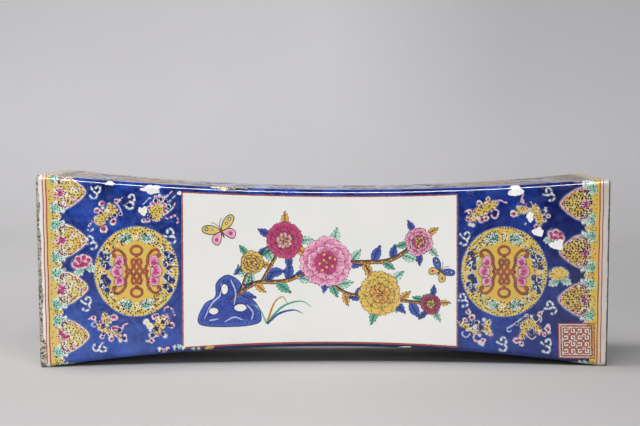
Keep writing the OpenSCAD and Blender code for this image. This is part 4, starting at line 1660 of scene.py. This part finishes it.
def stage():
    """Floor that sweeps up into a backdrop."""
    half, near, far, radius, high = 3.5, -4.0, 1.2, 0.8, 3.0
    steps = 12
    profile = [(near, 0.0), (0.0, 0.0)]
    for i in range(steps + 1):
        a = math.pi/2*i/steps
        profile.append((far + radius*math.sin(a), radius*(1 - math.cos(a))))
    profile.append((far + radius, high))
    points = [(x, y, z) for y, z in profile for x in (-half, half)]
    faces = grid_faces(len(profile), 2, flip=True)
    sweep = add_object("sweep", smooth_mesh("sweep", points, faces, stage_material()))


def area_light(name, place, target, size, power, mirrored_in_glaze=False, lights_paint=True):
    lamp = bpy.data.lights.new(name, "AREA")
    lamp.shape = "RECTANGLE"
    lamp.size, lamp.size_y = size
    lamp.energy = power
    holder = add_object(name, lamp)
    holder.visible_glossy = mirrored_in_glaze
    holder.visible_diffuse = lights_paint
    holder.location = place
    holder.rotation_euler = (Vector(target) - Vector(place)).to_track_quat("-Z", "Y").to_euler()


def light():
    """Softbox overhead, another high in front with a strip that only shines in the glaze's edges, a low fill,
    a backdrop light and a dim surround."""
    body = (0.0, 0.0, 0.06)
    area_light("overhead_softbox", (-0.55, 0.02, 1.60), (-0.2, 0.0, 0.06), (1.1, 0.50), 20.0)
    area_light("front_softbox", (0.0, -1.30, 1.65), body, (1.3, 0.50), 23.0)
    area_light("edge_strip", (0.0, -1.30, 1.67), body, (1.3, 0.20), 46.0, True, False)
    area_light("front_fill", (0.4, -2.6, 0.55), body, (2.0, 1.0), 20.5)
    area_light("backdrop_light", (-0.40, 0.75, 0.90), (-0.1, 1.70, 0.15), (1.4, 0.30), 1.5)
    world = bpy.data.worlds.new("studio")
    world.use_nodes = True
    background = world.node_tree.nodes["Background"]
    background.inputs["Color"].default_value = (0.96, 0.97, 1.0, 1.0)
    background.inputs["Strength"].default_value = 0.17
    bpy.context.scene.world = world


def camera():
    """Camera fitted to the photograph: nearly square on to the front, from a little above."""
    lens = bpy.data.cameras.new("camera")
    lens.sensor_width = 36.0
    lens.lens = 106.9
    lens.clip_end = 20.0
    place = Vector((2.7, -1313.6, 167.0))*MM
    pitch, yaw, roll = math.radians(2.970), math.radians(0.216), math.radians(-0.159)
    right = Vector((math.cos(yaw), math.sin(yaw), 0))
    ahead = Vector((-math.sin(yaw), math.cos(yaw), 0))
    forward = ahead*math.cos(pitch) - Vector((0, 0, math.sin(pitch)))
    above = ahead*math.sin(pitch) + Vector((0, 0, math.cos(pitch)))
    across = right*math.cos(roll) + above*math.sin(roll)
    up = above*math.cos(roll) - right*math.sin(roll)
    matrix = Matrix((across, up, -forward)).transposed().to_4x4()
    matrix.translation = place
    holder = add_object("camera", lens)
    holder.matrix_world = matrix
    bpy.context.scene.camera = holder


def build_coats(materials):
    """One piece for every enamel on every face."""
    for face, enamel in sorted(coats):
        points, faces, shades = coats[face, enamel]
        piece = make_piece(f"{face}_{enamel}_enamel", points, faces, materials[enamel], shade=shades)


def main():
    materials = {name: enamel_material(name) for name in ENAMELS}
    materials["glow"] = glow_glaze()
    materials["panel"] = panel_glaze()
    materials["bare"] = bare_material()
    cobalt = cobalt_glaze("cobalt_glaze", 0.04, 0.36)
    for face in ("front", "back", "top"):
        long_slab(face, cobalt)
    long_slab("base", cobalt_glaze("dull_cobalt_glaze", 0.55, 0.75))
    for side in (-1, 1):
        end_slab(side, end_glaze(side))
        end_face_lines(side, materials["red"])
        end_lines(side)
    clay = biscuit()
    for name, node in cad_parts.items():
        if name.endswith("_coil"):
            node.data.materials.clear()
            node.data.materials.append(clay)
    paint_front()
    peony_scene(Pen("front", -2.0, 63.8))
    paint_back()
    chrysanthemum_scene(Pen("back", 0.0, 63.8))
    paint_level("top")
    paint_level("base")
    build_coats(materials)
    stage()
    light()
    camera()
    bpy.context.scene.view_settings.view_transform = "Standard"


main()
